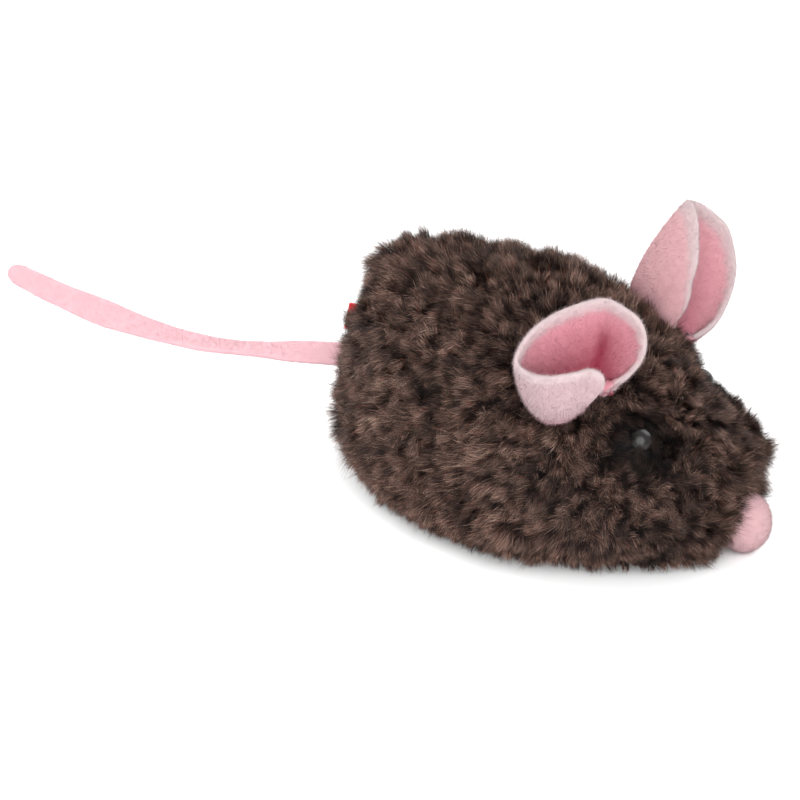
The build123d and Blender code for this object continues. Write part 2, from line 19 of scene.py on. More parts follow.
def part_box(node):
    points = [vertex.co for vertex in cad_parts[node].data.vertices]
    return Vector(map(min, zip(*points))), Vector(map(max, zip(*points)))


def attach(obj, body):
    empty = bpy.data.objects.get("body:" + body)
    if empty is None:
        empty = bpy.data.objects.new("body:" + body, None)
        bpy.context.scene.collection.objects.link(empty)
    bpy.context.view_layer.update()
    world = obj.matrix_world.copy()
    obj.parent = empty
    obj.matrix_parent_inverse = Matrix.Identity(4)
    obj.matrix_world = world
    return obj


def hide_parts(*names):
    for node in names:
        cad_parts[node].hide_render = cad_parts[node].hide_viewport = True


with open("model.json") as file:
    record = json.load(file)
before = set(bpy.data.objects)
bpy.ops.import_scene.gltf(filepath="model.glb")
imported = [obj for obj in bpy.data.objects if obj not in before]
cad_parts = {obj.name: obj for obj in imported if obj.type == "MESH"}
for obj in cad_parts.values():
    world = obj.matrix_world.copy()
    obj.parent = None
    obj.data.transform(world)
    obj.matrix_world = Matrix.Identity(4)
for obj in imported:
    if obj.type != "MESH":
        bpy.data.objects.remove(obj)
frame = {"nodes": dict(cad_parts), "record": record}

logging.basicConfig(level=logging.INFO, format="%(message)s")
log = logging.getLogger("mouse")

MM = 0.001
FELT_THICKNESS = 1.4 * MM
PALE_EDGE = (0.47, 0.38, 0.385)
BEAD_RADIUS = 4.6 * MM
HAIR_COLOUR = "hair_colour"  # attribute that holds each vertex's colour
Array = np.ndarray
Colour = tuple[float, float, float]
Place = tuple[float, float, float]
Skin = tuple[Array, Array]  # a grid of places and its outward directions


# ------------------------------------------------------------------------------ array helpers
def unit(vectors: Array) -> Array:
    """Scale vectors in the last axis to length one."""
    return vectors / np.maximum(np.linalg.norm(vectors, axis=-1, keepdims=True), 1e-12)


def smooth_step(low: float, high: float, value: Array) -> Array:
    """Rise smoothly from 0 at low to 1 at high.

    Args:
        low: where the rise starts.
        high: where it ends.
        value: the numbers to map.

    Returns:
        The mapped numbers, by 3t^2 - 2t^3.
    """
    t = np.clip((value - low) / (high - low), 0.0, 1.0)
    return t * t * (3.0 - 2.0 * t)


def smooth_curve(points: list[tuple[float, float, float]], count: int) -> Array:
    """Carry a smooth line through given points.

    Each span is the cubic whose slopes at its ends are half the step between the neighbours.

    Args:
        points: the places it passes, in millimetres.
        count: how many samples to return, evenly spaced in the span number.

    Returns:
        An array of count places in metres.
    """
    p = np.array(points, float) * MM
    padded = np.vstack([2 * p[0] - p[1], p, 2 * p[-1] - p[-2]])
    place = np.linspace(0, len(p) - 1, count)
    span = np.minimum(place.astype(int), len(p) - 2)
    t = (place - span)[:, None]
    a, b, c, d = (padded[span + k] for k in range(4))
    return 0.5 * (2 * b + (c - a) * t + (2 * a - 5 * b + 4 * c - d) * t**2 + (3 * b - a - 3 * c + d) * t**3)


@dataclass
class Waves:
    """Smooth noise in space: a sum of sine waves with seeded directions and phases."""

    length: float  # typical distance between crests, in metres
    seed: int
    count: int = 14

    def __call__(self, places: Array) -> Array:
        """Value of the noise.

        Args:
            places: any array of places, with x, y and z last.

        Returns:
            A number between about -1 and 1 for each.
        """
        rng = default_rng(self.seed)
        spin = unit(rng.normal(size=(self.count, 3))) * (2 * np.pi / self.length)
        spin *= rng.uniform(0.6, 1.6, size=(self.count, 1))
        phase = rng.uniform(0, 2 * np.pi, self.count)
        total = np.zeros(places.shape[:-1])
        for k in range(self.count):
            total += np.sin(places @ spin[k] + phase[k])
        return total / sqrt(self.count * 1.2)


# ------------------------------------------------------------------------------ mesh helpers
def add_object(name: str, data: ID) -> Object:
    """Put a mesh, a light or a camera in the scene as an object at the origin."""
    piece = bpy.data.objects.new(name, data)
    bpy.context.scene.collection.objects.link(piece)
    return piece


def add_piece(mesh: Mesh, material: Material, stands_for: str = "") -> Object:
    """Show a mesh as a piece that rides on the chassis.

    Args:
        mesh: the piece's mesh, which also gives its name.
        material: its only material.
        stands_for: the CAD node that it replaces, if there is one.

    Returns:
        The piece.
    """
    mesh.materials.append(material)
    piece = add_object(mesh.name, mesh)
    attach(piece, "chassis")
    if stands_for:
        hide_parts(stands_for)
    return piece


def mesh_from(name: str, points: Array, polygons: list[Array]) -> Mesh:
    """Fill a mesh from arrays.

    Args:
        name: the mesh's name.
        points: its vertices, n by 3.
        polygons: arrays of vertex numbers, one row for each face.

    Returns:
        The mesh, shaded smooth.
    """
    mesh = bpy.data.meshes.new(name)
    corners = np.concatenate([p.ravel() for p in polygons]).astype(np.int32)
    sizes = np.concatenate([np.full(len(p), p.shape[1]) for p in polygons])
    starts = np.concatenate([[0], np.cumsum(sizes)[:-1]]).astype(np.int32)
    mesh.vertices.add(len(points))
    mesh.loops.add(len(corners))
    mesh.polygons.add(len(sizes))
    mesh.vertices.foreach_set("co", np.ascontiguousarray(points, np.float32).ravel())
    mesh.loops.foreach_set("vertex_index", corners)
    mesh.polygons.foreach_set("loop_start", starts)
    mesh.polygons.foreach_set("use_smooth", np.ones(len(sizes), bool))
    mesh.update(calc_edges=True)
    mesh.validate()
    return mesh


def grid_faces(rows: int, columns: int, wrap: bool = False) -> Array:
    """Vertex numbers of the quads of a grid, row by row.

    Args:
        rows: the grid's rows.
        columns: its columns.
        wrap: whether the last column joins the first.

    Returns:
        The quads, n by 4.
    """
    number = np.arange(rows * columns).reshape(rows, columns)
    if wrap:
        number = np.hstack([number, number[:, :1]])
    quads = [number[:-1, :-1], number[:-1, 1:], number[1:, 1:], number[1:, :-1]]
    return np.stack(quads, axis=-1).reshape(-1, 4)


def tube_mesh(name: str, rings: Array) -> Mesh:
    """Close a stack of rings into a solid whose faces point outwards.

    Quads join each ring to the next and one face fills each end. All are turned round if
    the sides, taken together, face the middle.

    Args:
        name: the mesh's name.
        rings: rows by places round a ring by 3.

    Returns:
        The mesh.
    """
    rows, around, _ = rings.shape
    points, end = rings.reshape(-1, 3), np.arange(around)[None]
    faces = [grid_faces(rows, around, wrap=True), end[:, ::-1], end + (rows - 1) * around]
    a, b, c, d = (points[faces[0][:, k]] for k in range(4))
    if np.sum(np.cross(c - a, d - b) * (a - points.mean(axis=0))) < 0:
        faces = [face[:, ::-1] for face in faces]
    return mesh_from(name, points, faces)


def ball_grid(rows: int, turns: Array) -> Array:
    """Places on a ball of radius one, from the upper pole down and round by the given turns.

    Args:
        rows: how many rings; the first and last are all but points.
        turns: the angles round each ring.

    Returns:
        The places, rows by turns by 3.
    """
    down = np.linspace(0.001, np.pi - 0.001, rows)[:, None]
    wide = np.sin(down)
    return np.stack(np.broadcast_arrays(wide * np.cos(turns), wide * np.sin(turns), np.cos(down)), axis=-1)


def paint_points(mesh: Mesh, colours: Array) -> None:
    """Store a colour for each vertex.

    Args:
        mesh: the mesh.
        colours: linear values, vertices by 3.
    """
    layer = mesh.color_attributes.new(HAIR_COLOUR, "FLOAT_COLOR", "POINT")
    full = np.ones((len(mesh.vertices), 4), np.float32)
    full[:, :3] = colours
    layer.data.foreach_set("color", full.ravel())


def grid_normals(points: Array) -> Array:
    """Unit normals of a grid of points, from the steps along its rows and columns."""
    down, across = np.gradient(points, axis=0), np.gradient(points, axis=1)
    return unit(np.cross(down, across))


def cell_areas(points: Array) -> Array:
    """Area of each cell of a grid of points: half the cross product of its diagonals."""
    a, b, c, d = points[:-1, :-1], points[:-1, 1:], points[1:, 1:], points[1:, :-1]
    return np.linalg.norm(np.cross(c - a, d - b), axis=-1) / 2


@dataclass(frozen=True)
class Roots:
    """Places on a surface where hairs stand, with the surface's outward direction there."""

    places: Array
    ups: Array

    def kept(self, mask: Array) -> "Roots":
        """Only the roots where the mask is true."""
        return Roots(self.places[mask], self.ups[mask])


def scatter(points: Array, ups: Array, count: int, rng: Generator) -> Roots:
    """Scatter roots evenly by area over a grid surface.

    A cell is drawn with a chance equal to its share of the area, then a place within it is
    the blend of its four corners.

    Args:
        points: the surface's grid, rows by columns by 3.
        ups: its outward directions, the same shape.
        count: how many roots.
        rng: the seeded source of chance.

    Returns:
        The roots.
    """
    area = cell_areas(points).ravel()
    edge = np.cumsum(area) / area.sum()
    cell = np.minimum(np.searchsorted(edge, rng.random(count)), len(edge) - 1)
    row, column = np.divmod(cell, points.shape[1] - 1)
    s, t = rng.random((2, count, 1))

    def blend(grid: Array) -> Array:
        """The value between the four corners of each drawn cell."""
        top = grid[row, column] * (1 - t) + grid[row, column + 1] * t
        foot = grid[row + 1, column] * (1 - t) + grid[row + 1, column + 1] * t
        return top * (1 - s) + foot * s

    return Roots(blend(points), unit(blend(ups)))


@dataclass(frozen=True)
class Strands:
    """Tapered ribbons that end in a point, all with the same number of places."""

    lines: Array  # hairs by places by 3, from root to tip
    sides: Array  # hairs by 3, the direction of each ribbon's width
    ups: Array  # hairs by 3, the direction in which each ribbon is lit
    colours: Array  # hairs by places by 3

    def mesh(self, name: str, widths: Array, part: Array | slice = slice(None)) -> Mesh:
        """Make a mesh in which each place but the last gets two vertices, half a width to each side.

        Args:
            name: the mesh's name.
            widths: the width at each place but the last, in metres.
            part: which hairs to take.

        Returns:
            The mesh, with its normals and its colours set.
        """
        lines, sides, colours = self.lines[part], self.sides[part], self.colours[part]
        hairs, places, _ = lines.shape
        rings = places - 1
        half = sides[:, None, :] * (np.asarray(widths)[None, :, None] / 2)
        pairs = np.stack([lines[:, :rings] - half, lines[:, :rings] + half], axis=2)
        points = np.concatenate([pairs.reshape(hairs, 2 * rings, 3), lines[:, -1:]], axis=1)
        each = 2 * rings + 1
        first = (np.arange(hairs) * each)[:, None]
        quads = [first + np.array([2 * r, 2 * r + 1, 2 * r + 3, 2 * r + 2]) for r in range(rings - 1)]
        tips = first + np.array([2 * rings - 2, 2 * rings - 1, 2 * rings])
        mesh = mesh_from(name, points.reshape(-1, 3), [*quads, tips])
        lit = np.repeat(self.ups[part], each, axis=0).astype(np.float32)
        mesh.normals_split_custom_set_from_vertices(lit)
        doubled = np.concatenate([np.repeat(colours[:, :rings], 2, axis=1), colours[:, -1:]], axis=1)
        paint_points(mesh, doubled.reshape(-1, 3))
        return mesh


# ------------------------------------------------------------------------------ shader maths
class Shade:
    """A node's output whose operators add the nodes that work them out."""

    def __init__(self, paint: "Paint", socket: NodeSocket) -> None:
        """Wrap one output socket of a paint's node tree."""
        self.paint = paint
        self.socket = socket

    def _math(self, operation: str, *terms: object) -> "Shade":
        """Add a Math node on the terms."""
        return self.paint.node("ShaderNodeMath", {"operation": operation}, dict(enumerate(terms)))

    def __add__(self, other: object) -> "Shade":
        """Sum."""
        return self._math("ADD", self, other)

    __radd__ = __add__

    def __mul__(self, other: object) -> "Shade":
        """Product."""
        return self._math("MULTIPLY", self, other)

    __rmul__ = __mul__

    def __sub__(self, other: object) -> "Shade":
        """Difference."""
        return self._math("SUBTRACT", self, other)

    def __rsub__(self, other: object) -> "Shade":
        """Difference, reflected."""
        return self._math("SUBTRACT", other, self)

    def sine(self) -> "Shade":
        """Sine of an angle in radians."""
        return self._math("SINE", self)

    def clipped(self) -> "Shade":
        """Hold the value between 0 and 1."""
        return self.paint.node("ShaderNodeClamp", {}, {0: self})


class Paint:
    """A material being made: its node tree, its Principled shader and the nodes behind it."""

    def __init__(self, name: str, **constants: object) -> None:
        """Start a material and set the shader's constant sockets, given with _ for a space."""
        self.material = bpy.data.materials.new(name)
        self.material.use_nodes = True
        self.tree = self.material.node_tree
        self.shader = next(n for n in self.tree.nodes if n.type == "BSDF_PRINCIPLED")
        for socket, value in constants.items():
            self.feed(socket.replace("_", " "), value)

    def feed(self, socket: str, value: object) -> None:
        """Set or link one of the shader's sockets."""
        self._set(self.shader.inputs[socket], value)

    def _set(self, socket: NodeSocket, value: object) -> None:
        """Link a Shade to a socket, or set its value; a colour gets an alpha of 1."""
        if isinstance(value, Shade):
            self.tree.links.new(value.socket, socket)
        elif socket.type == "RGBA" and len(value) == 3:
            socket.default_value = (*value, 1.0)
        else:
            socket.default_value = value

    def node(self, kind: str, settings: dict, inputs: dict, output: object = 0) -> Shade:
        """Add any node.

        Args:
            kind: the node's type name.
            settings: its properties, set first; "stops" fills a colour ramp.
            inputs: values or Shades by socket name or number.
            output: the output's name or number.

        Returns:
            The chosen output.
        """
        made = self.tree.nodes.new(kind)
        for name, value in settings.items():
            if name == "stops":
                self._fill_ramp(made.color_ramp, value)
            else:
                setattr(made, name, value)
        for socket, value in inputs.items():
            self._set(made.inputs[socket], value)
        return Shade(self, made.outputs[output])

    @staticmethod
    def _fill_ramp(ramp: ColorRamp, stops: tuple[tuple[float, Colour], ...]) -> None:
        """Give a colour ramp its stops, from low to high."""
        while len(ramp.elements) < len(stops):
            ramp.elements.new(0.5)
        for element, (place, colour) in zip(ramp.elements, stops):
            element.position = place
            element.color = (*colour, 1.0)

    def place(self) -> Shade:
        """The point on the piece, in metres."""
        return self.node("ShaderNodeTexCoord", {}, {}, "Object")

    def noise(self, scale: float, detail: float = 2.0, roughness: float = 0.5) -> Shade:
        """Cloudy value from 0 to 1, with scale crests in a metre."""
        sockets = {"Vector": self.place(), "Scale": scale, "Detail": detail, "Roughness": roughness}
        return self.node("ShaderNodeTexNoise", {}, sockets)

    def stretched_noise(self, stretch: tuple[float, float, float], detail: float = 2.0) -> Shade:
        """Cloudy value drawn out along an axis: stretch is crests in a metre along each."""
        placed = self.node("ShaderNodeMapping", {}, {"Vector": self.place(), "Scale": stretch})
        return self.node("ShaderNodeTexNoise", {}, {"Vector": placed, "Scale": 1.0, "Detail": detail})

    def ramp(self, value: Shade, *stops: tuple[float, Colour]) -> Shade:
        """Colour picked by a value, through stops from low to high."""
        return self.node("ShaderNodeValToRGB", {"stops": stops}, {0: value})

    def colour_by(self, value: Shade, *stops: tuple[float, Colour]) -> None:
        """Set the shader's colour by a value, through stops from low to high."""
        self.feed("Base Color", self.ramp(value, *stops))

    def stored(self) -> Shade:
        """The colour stored on the vertices."""
        return self.node("ShaderNodeVertexColor", {"layer_name": HAIR_COLOUR}, {}, "Color")

    def times(self, first: Shade, second: Shade) -> Shade:
        """Product of two colours."""
        settings = {"data_type": "RGBA", "blend_type": "MULTIPLY"}
        return self.node("ShaderNodeMix", settings, {0: 1.0, 6: first, 7: second}, 2)

    def let_through(self, colour: Colour, share: float) -> None:
        """Mix in light that comes through from the far side.

        Args:
            colour: that light's colour.
            share: how much of it there is, from 0 to 1.
        """
        output = next(n for n in self.tree.nodes if n.type == "OUTPUT_MATERIAL")
        thin = self.node("ShaderNodeBsdfTranslucent", {}, {"Color": colour})
        solid = Shade(self, self.shader.outputs[0])
        both = self.node("ShaderNodeMixShader", {}, {0: share, 1: solid, 2: thin})
        self.tree.links.new(both.socket, output.inputs["Surface"])

    def bump(self, height: Shade, depth: float) -> None:
        """Raise the surface by a height from 0 to 1, times depth in metres."""
        relief = {"Height": height, "Distance": depth, "Strength": 1.0}
        self.feed("Normal", self.node("ShaderNodeBump", {}, relief))


@dataclass(frozen=True)
class FurFinish:
    """Acrylic pile whose colour is stored on its hairs."""

    roughness: float = 0.6
    through: Colour = (0.20, 0.115, 0.085)  # colour of the light that passes through a hair
    share: float = 0.04

    def material(self) -> Material:
        """Make the material."""
        paint = Paint("fur_pile", Roughness=self.roughness, Specular_IOR_Level=0.1)
        paint.let_through(self.through, self.share)
        patch = paint.noise(420.0, 3.0)
        shade = paint.ramp(patch, (0.3, (0.72, 0.70, 0.70)), (0.7, (1.12, 1.1, 1.08)))
        paint.feed("Base Color", paint.times(paint.stored(), shade))
        return paint.material


@dataclass(frozen=True)
class FibreFinish:
    """Loose felt fibres whose colour is stored on them."""

    def material(self) -> Material:
        """Make the material."""
        paint = Paint("felt_fibres", Roughness=0.85, Sheen_Weight=0.05, Specular_IOR_Level=0.15)
        drift = paint.ramp(paint.noise(700.0, 3.0), (0.3, (0.90, 0.88, 0.88)), (0.7, (1.05, 1.05, 1.05)))
        paint.feed("Base Color", paint.times(paint.stored(), drift))
        return paint.material


@dataclass(frozen=True)
class BackingFinish:
    """Knitted backing cloth and dense lower pile, nearly black between the hairs."""

    dark: Colour = (0.006, 0.004, 0.0035)
    light: Colour = (0.035, 0.02, 0.015)

    def material(self) -> Material:
        """Make the material."""
        paint = Paint("pile_backing", Roughness=0.95, Specular_IOR_Level=0.1)
        tufts = paint.noise(1500.0, 4.0, 0.7)
        paint.colour_by(tufts, (0.35, self.dark), (0.75, self.light))
        paint.bump(tufts, 0.0012)
        return paint.material


@dataclass(frozen=True)
class FeltFinish:
    """Thick pressed felt: a soft mottle, fine fibres and a sheen at grazing light."""

    name: str
    colour: Colour
    deep: Colour
    stored_shade: bool = False  # whether the colours stored on the vertices, painted shade included, multiply the felt's

    def material(self) -> Material:
        """Make the material."""
        paint = Paint(self.name, Roughness=0.92, Sheen_Weight=0.12, Sheen_Roughness=0.5)
        paint.feed("Specular IOR Level", 0.15)
        fibres = paint.noise(3600.0, 5.0, 0.72)
        mottle = paint.noise(520.0, 3.0)
        colour = paint.ramp(mottle * 0.3 + fibres * 0.7, (0.32, self.deep), (0.58, self.colour))
        if self.stored_shade:
            colour = paint.times(colour, paint.stored())
        paint.feed("Base Color", colour)
        paint.bump(fibres * 0.94 + mottle * 0.06, 0.00014)
        return paint.material


@dataclass(frozen=True)
class BeadFinish:
    """Polished black glass bead."""

    def material(self) -> Material:
        """Make the material."""
        paint = Paint("black_bead", Specular_IOR_Level=0.34)
        haze = paint.noise(900.0, 3.0)
        paint.colour_by(haze, (0.3, (0.002, 0.002, 0.002)), (0.8, (0.008, 0.006, 0.006)))
        paint.feed("Roughness", haze * 0.1 + 0.24)
        return paint.material


@dataclass(frozen=True)
class MouldedFinish:
    """Moulded plastic: a fine spark-eroded grain, a slow colour drift and rubbed spots."""

    name: str
    colour: Colour
    roughness: float = 0.45

    def material(self) -> Material:
        """Make the material."""
        paint = Paint(self.name, Specular_IOR_Level=0.45)
        grain = paint.noise(5200.0, 2.0)
        drift = paint.noise(140.0, 3.0)
        rubbed = paint.noise(700.0, 6.0, 0.7)
        light = tuple(min(1.0, c * 1.25 + 0.01) for c in self.colour)
        paint.colour_by(drift * 0.5 + rubbed * 0.5, (0.3, self.colour), (0.75, light))
        paint.feed("Roughness", (rubbed * 0.25 + (self.roughness - 0.1)).clipped())
        paint.bump(grain * 0.7 + rubbed * 0.3, 0.00006)
        return paint.material


class Grain(Enum):
    """Which way a metal is brushed: crests in a metre along X, Y and Z."""

    ALONG_X = (180.0, 6500.0, 6500.0)
    ALONG_Y = (6500.0, 180.0, 6500.0)
    PLAIN = (2600.0, 2600.0, 2600.0)


@dataclass(frozen=True)
class MetalFinish:
    """Worked metal: brushing along a grain, faint stains and duller patches."""

    name: str
    colour: Colour
    stain: Colour
    roughness: float
    grain: Grain = Grain.PLAIN

    def material(self) -> Material:
        """Make the material."""
        paint = Paint(self.name, Metallic=1.0)
        brushing = paint.stretched_noise(self.grain.value, 3.0)
        stains = paint.noise(330.0, 5.0, 0.65)
        paint.colour_by(stains, (0.35, self.stain), (0.6, self.colour))
        paint.feed("Roughness", (brushing * 0.16 + stains * 0.18 + (self.roughness - 0.14)).clipped())
        paint.bump(brushing, 0.00004)
        return paint.material


@dataclass(frozen=True)
class RubberFinish:
    """Soft rubber: matt, with a dusty bloom."""

    name: str
    colour: Colour
    bloom: Colour

    def material(self) -> Material:
        """Make the material."""
        paint = Paint(self.name, Specular_IOR_Level=0.3)
        dust = paint.noise(620.0, 6.0, 0.7)
        paint.colour_by(dust, (0.45, self.colour), (0.8, self.bloom))
        paint.feed("Roughness", (dust * 0.3 + 0.6).clipped())
        paint.bump(paint.noise(3000.0, 3.0), 0.00008)
        return paint.material


@dataclass(frozen=True)
class WovenFinish:
    """Woven cloth or tape: crossed threads of a pitch, with a slow change of shade."""

    name: str
    colour: Colour
    shade: Colour
    pitch: float = 0.0004
    across: str = "Y"

    def material(self) -> Material:
        """Make the material."""
        paint = Paint(self.name, Roughness=0.85, Sheen_Weight=0.2, Specular_IOR_Level=0.2)
        place = paint.place()
        parts = {axis: paint.node("ShaderNodeSeparateXYZ", {}, {0: place}, axis) for axis in "XYZ"}
        turns = pi / self.pitch
        warp, weft = ((parts[axis] * turns).sine() for axis in (self.across, "Z"))
        threads = warp * warp * 0.5 + weft * weft * 0.5
        fuzz = paint.noise(2500.0, 4.0)
        paint.colour_by(threads * 0.7 + fuzz * 0.3, (0.15, self.shade), (0.7, self.colour))
        paint.bump(threads * 0.8 + fuzz * 0.2, self.pitch * 0.5)
        return paint.material


# ------------------------------------------------------------------------------ the fur body
@dataclass(frozen=True)
class BodyShape:
    """The plush body's outer surface, laid out from the covers' measured box.

    A section across the body is half an ellipse above the widest line, and below it a side that
    leans in to the hem.
    """

    rear: float
    front: float
    half_width: float
    top: float
    hem: float
    widest_x: float = 8.0 * MM
    widest_z: float = 14.0 * MM
    tuck: float = 3.0 * MM
    rump: float = 16.0 * MM
    muzzle: float = 26.0 * MM
    muzzle_z: float = 12.0 * MM
    cap: float = 2.0 * MM
    cap_rows: int = 8
    turn: float = -33.0 * MM  # where the level back turns down to the rump
    side_share: float = 0.22  # share of a section's places that are below its widest line
    pulled_in: float = 2.4 * MM  # at the rump's upper corner

    @classmethod
    def measured(cls) -> "BodyShape":
        """Take the sizes from the two packed covers."""
        low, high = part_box("cover_right")
        return cls(low[0], high[0], -low[1], high[2], low[2])

    def width_at(self, x: Array) -> Array:
        """Half the width at a station: a flattened ellipse behind the widest, a taper ahead of it.

        Args:
            x: the stations.

        Returns:
            The half widths.
        """
        back = np.clip(1 - ((self.widest_x - x) / (56 * MM)) ** 2, 0, 1) ** 0.6
        u = np.clip((x - self.widest_x) / (42 * MM), 0, 1)
        ahead = (1 - 0.42 * u**1.3) * np.clip(1 - u**8, 0, 1) ** 0.4
        return self.half_width * np.where(x < self.widest_x, back, ahead)

    def top_at(self, x: Array) -> Array:
        """Height of the back: a quarter ellipse at the rump, then a slope down to the muzzle.

        Args:
            x: the stations.

        Returns:
            The heights above the floor.
        """
        fall = np.sqrt(np.clip(1 - ((self.turn - x) / self.rump) ** 2, 0, 1))
        behind = self.widest_z + (self.top - self.widest_z) * fall
        slope = np.clip(x, 0, None) / self.front
        return np.where(x < self.turn, behind, self.top - (self.top - self.muzzle) * slope**1.2)

    def grid(self, side: int, rows: int = 90, columns: int = 60, grow: float = 0.0) -> Skin:
        """One half of the body as a grid of places.

        Args:
            side: -1 for the right half, 1 for the left.
            rows: stations from rump to muzzle, the last few over the muzzle's cap.
            columns: places from the hem to the crest.
            grow: how far outward the surface is moved.

        Returns:
            The places and the outward directions, each rows by columns by 3.
        """
        plain = rows - self.cap_rows
        share = smooth_step(-0.35, 1.25, np.linspace(0, 1, plain))
        share = (share - share[0]) / (share[-1] - share[0])
        along = self.rear + 0.2 * MM + share * (self.front - self.rear - 0.2 * MM)
        turn = np.linspace(0, np.pi / 2, self.cap_rows + 1)[1:]
        x = np.concatenate([along, self.front + self.cap * np.sin(turn)])[:, None]
        cap = np.concatenate([np.ones(plain), np.cos(turn) * 0.98 + 0.02])[:, None]
        station = np.minimum(x, self.front)
        wide, high = self.width_at(station), self.top_at(station) - self.widest_z
        t = np.linspace(0, 1, columns)[None, :]
        low = np.clip(1 - t / self.side_share, 0, 1)
        angle = np.clip((t - self.side_share) / (1 - self.side_share), 0, 1) * np.pi / 2
        tuck = np.minimum(self.tuck, wide * 0.6)
        y = wide * np.cos(angle) - tuck * low**2
        z = self.widest_z + high * np.sin(angle) - (self.widest_z - self.hem) * low
        z = self.muzzle_z + (z - self.muzzle_z) * cap
        places = np.stack(np.broadcast_arrays(x, side * y * cap, z), axis=-1)
        ups = grid_normals(places) * -side
        rearmost = smooth_step(-34 * MM, -44 * MM, places[..., :1])
        corner = rearmost * smooth_step(26 * MM, 42 * MM, places[..., 2:])
        return places + ups * (grow - self.pulled_in * corner), ups


@dataclass(frozen=True)
class Bald:
    """A patch where no pile grows: a ball round a place."""

    centre: Place
    radius: float

    def clear_of(self, places: Array) -> Array:
        """True where a place is outside the ball."""
        return np.linalg.norm(places - np.array(self.centre), axis=1) > self.radius


def clump_of(places: Array, size: float, seed: int) -> Array:
    """Number of the tuft that each place belongs to.

    Space is cut into cubes with one seed in each, at a place set by the cube's own number, and
    a place belongs to the nearest seed among its own cube's and the 26 round it.

    Args:
        places: n by 3.
        size: the cube's side.
        seed: picks the arrangement.

    Returns:
        n whole numbers from 0.
    """
    hash_primes = np.array([73856093, 19349663, 83492791])
    cube = np.floor(places / size).astype(np.int64)
    best = np.full(len(places), np.inf)
    owner = np.zeros(len(places), np.int64)
    steps = np.stack(np.meshgrid(*[[-1, 0, 1]] * 3), axis=-1).reshape(-1, 3)
    for step in steps:
        other = cube + step
        code = (other @ hash_primes) ^ (seed * 7919)
        mixed = [np.modf(np.abs(np.sin(code * k)) * 43758.5453)[0] for k in (12.9898, 78.233, 37.719)]
        jitter = np.stack(mixed, axis=-1)
        gap = np.linalg.norm((other + jitter) * size - places, axis=1)
        nearer = gap < best
        best[nearer], owner[nearer] = gap[nearer], code[nearer]
    return np.unique(owner, return_inverse=True)[1].ravel()


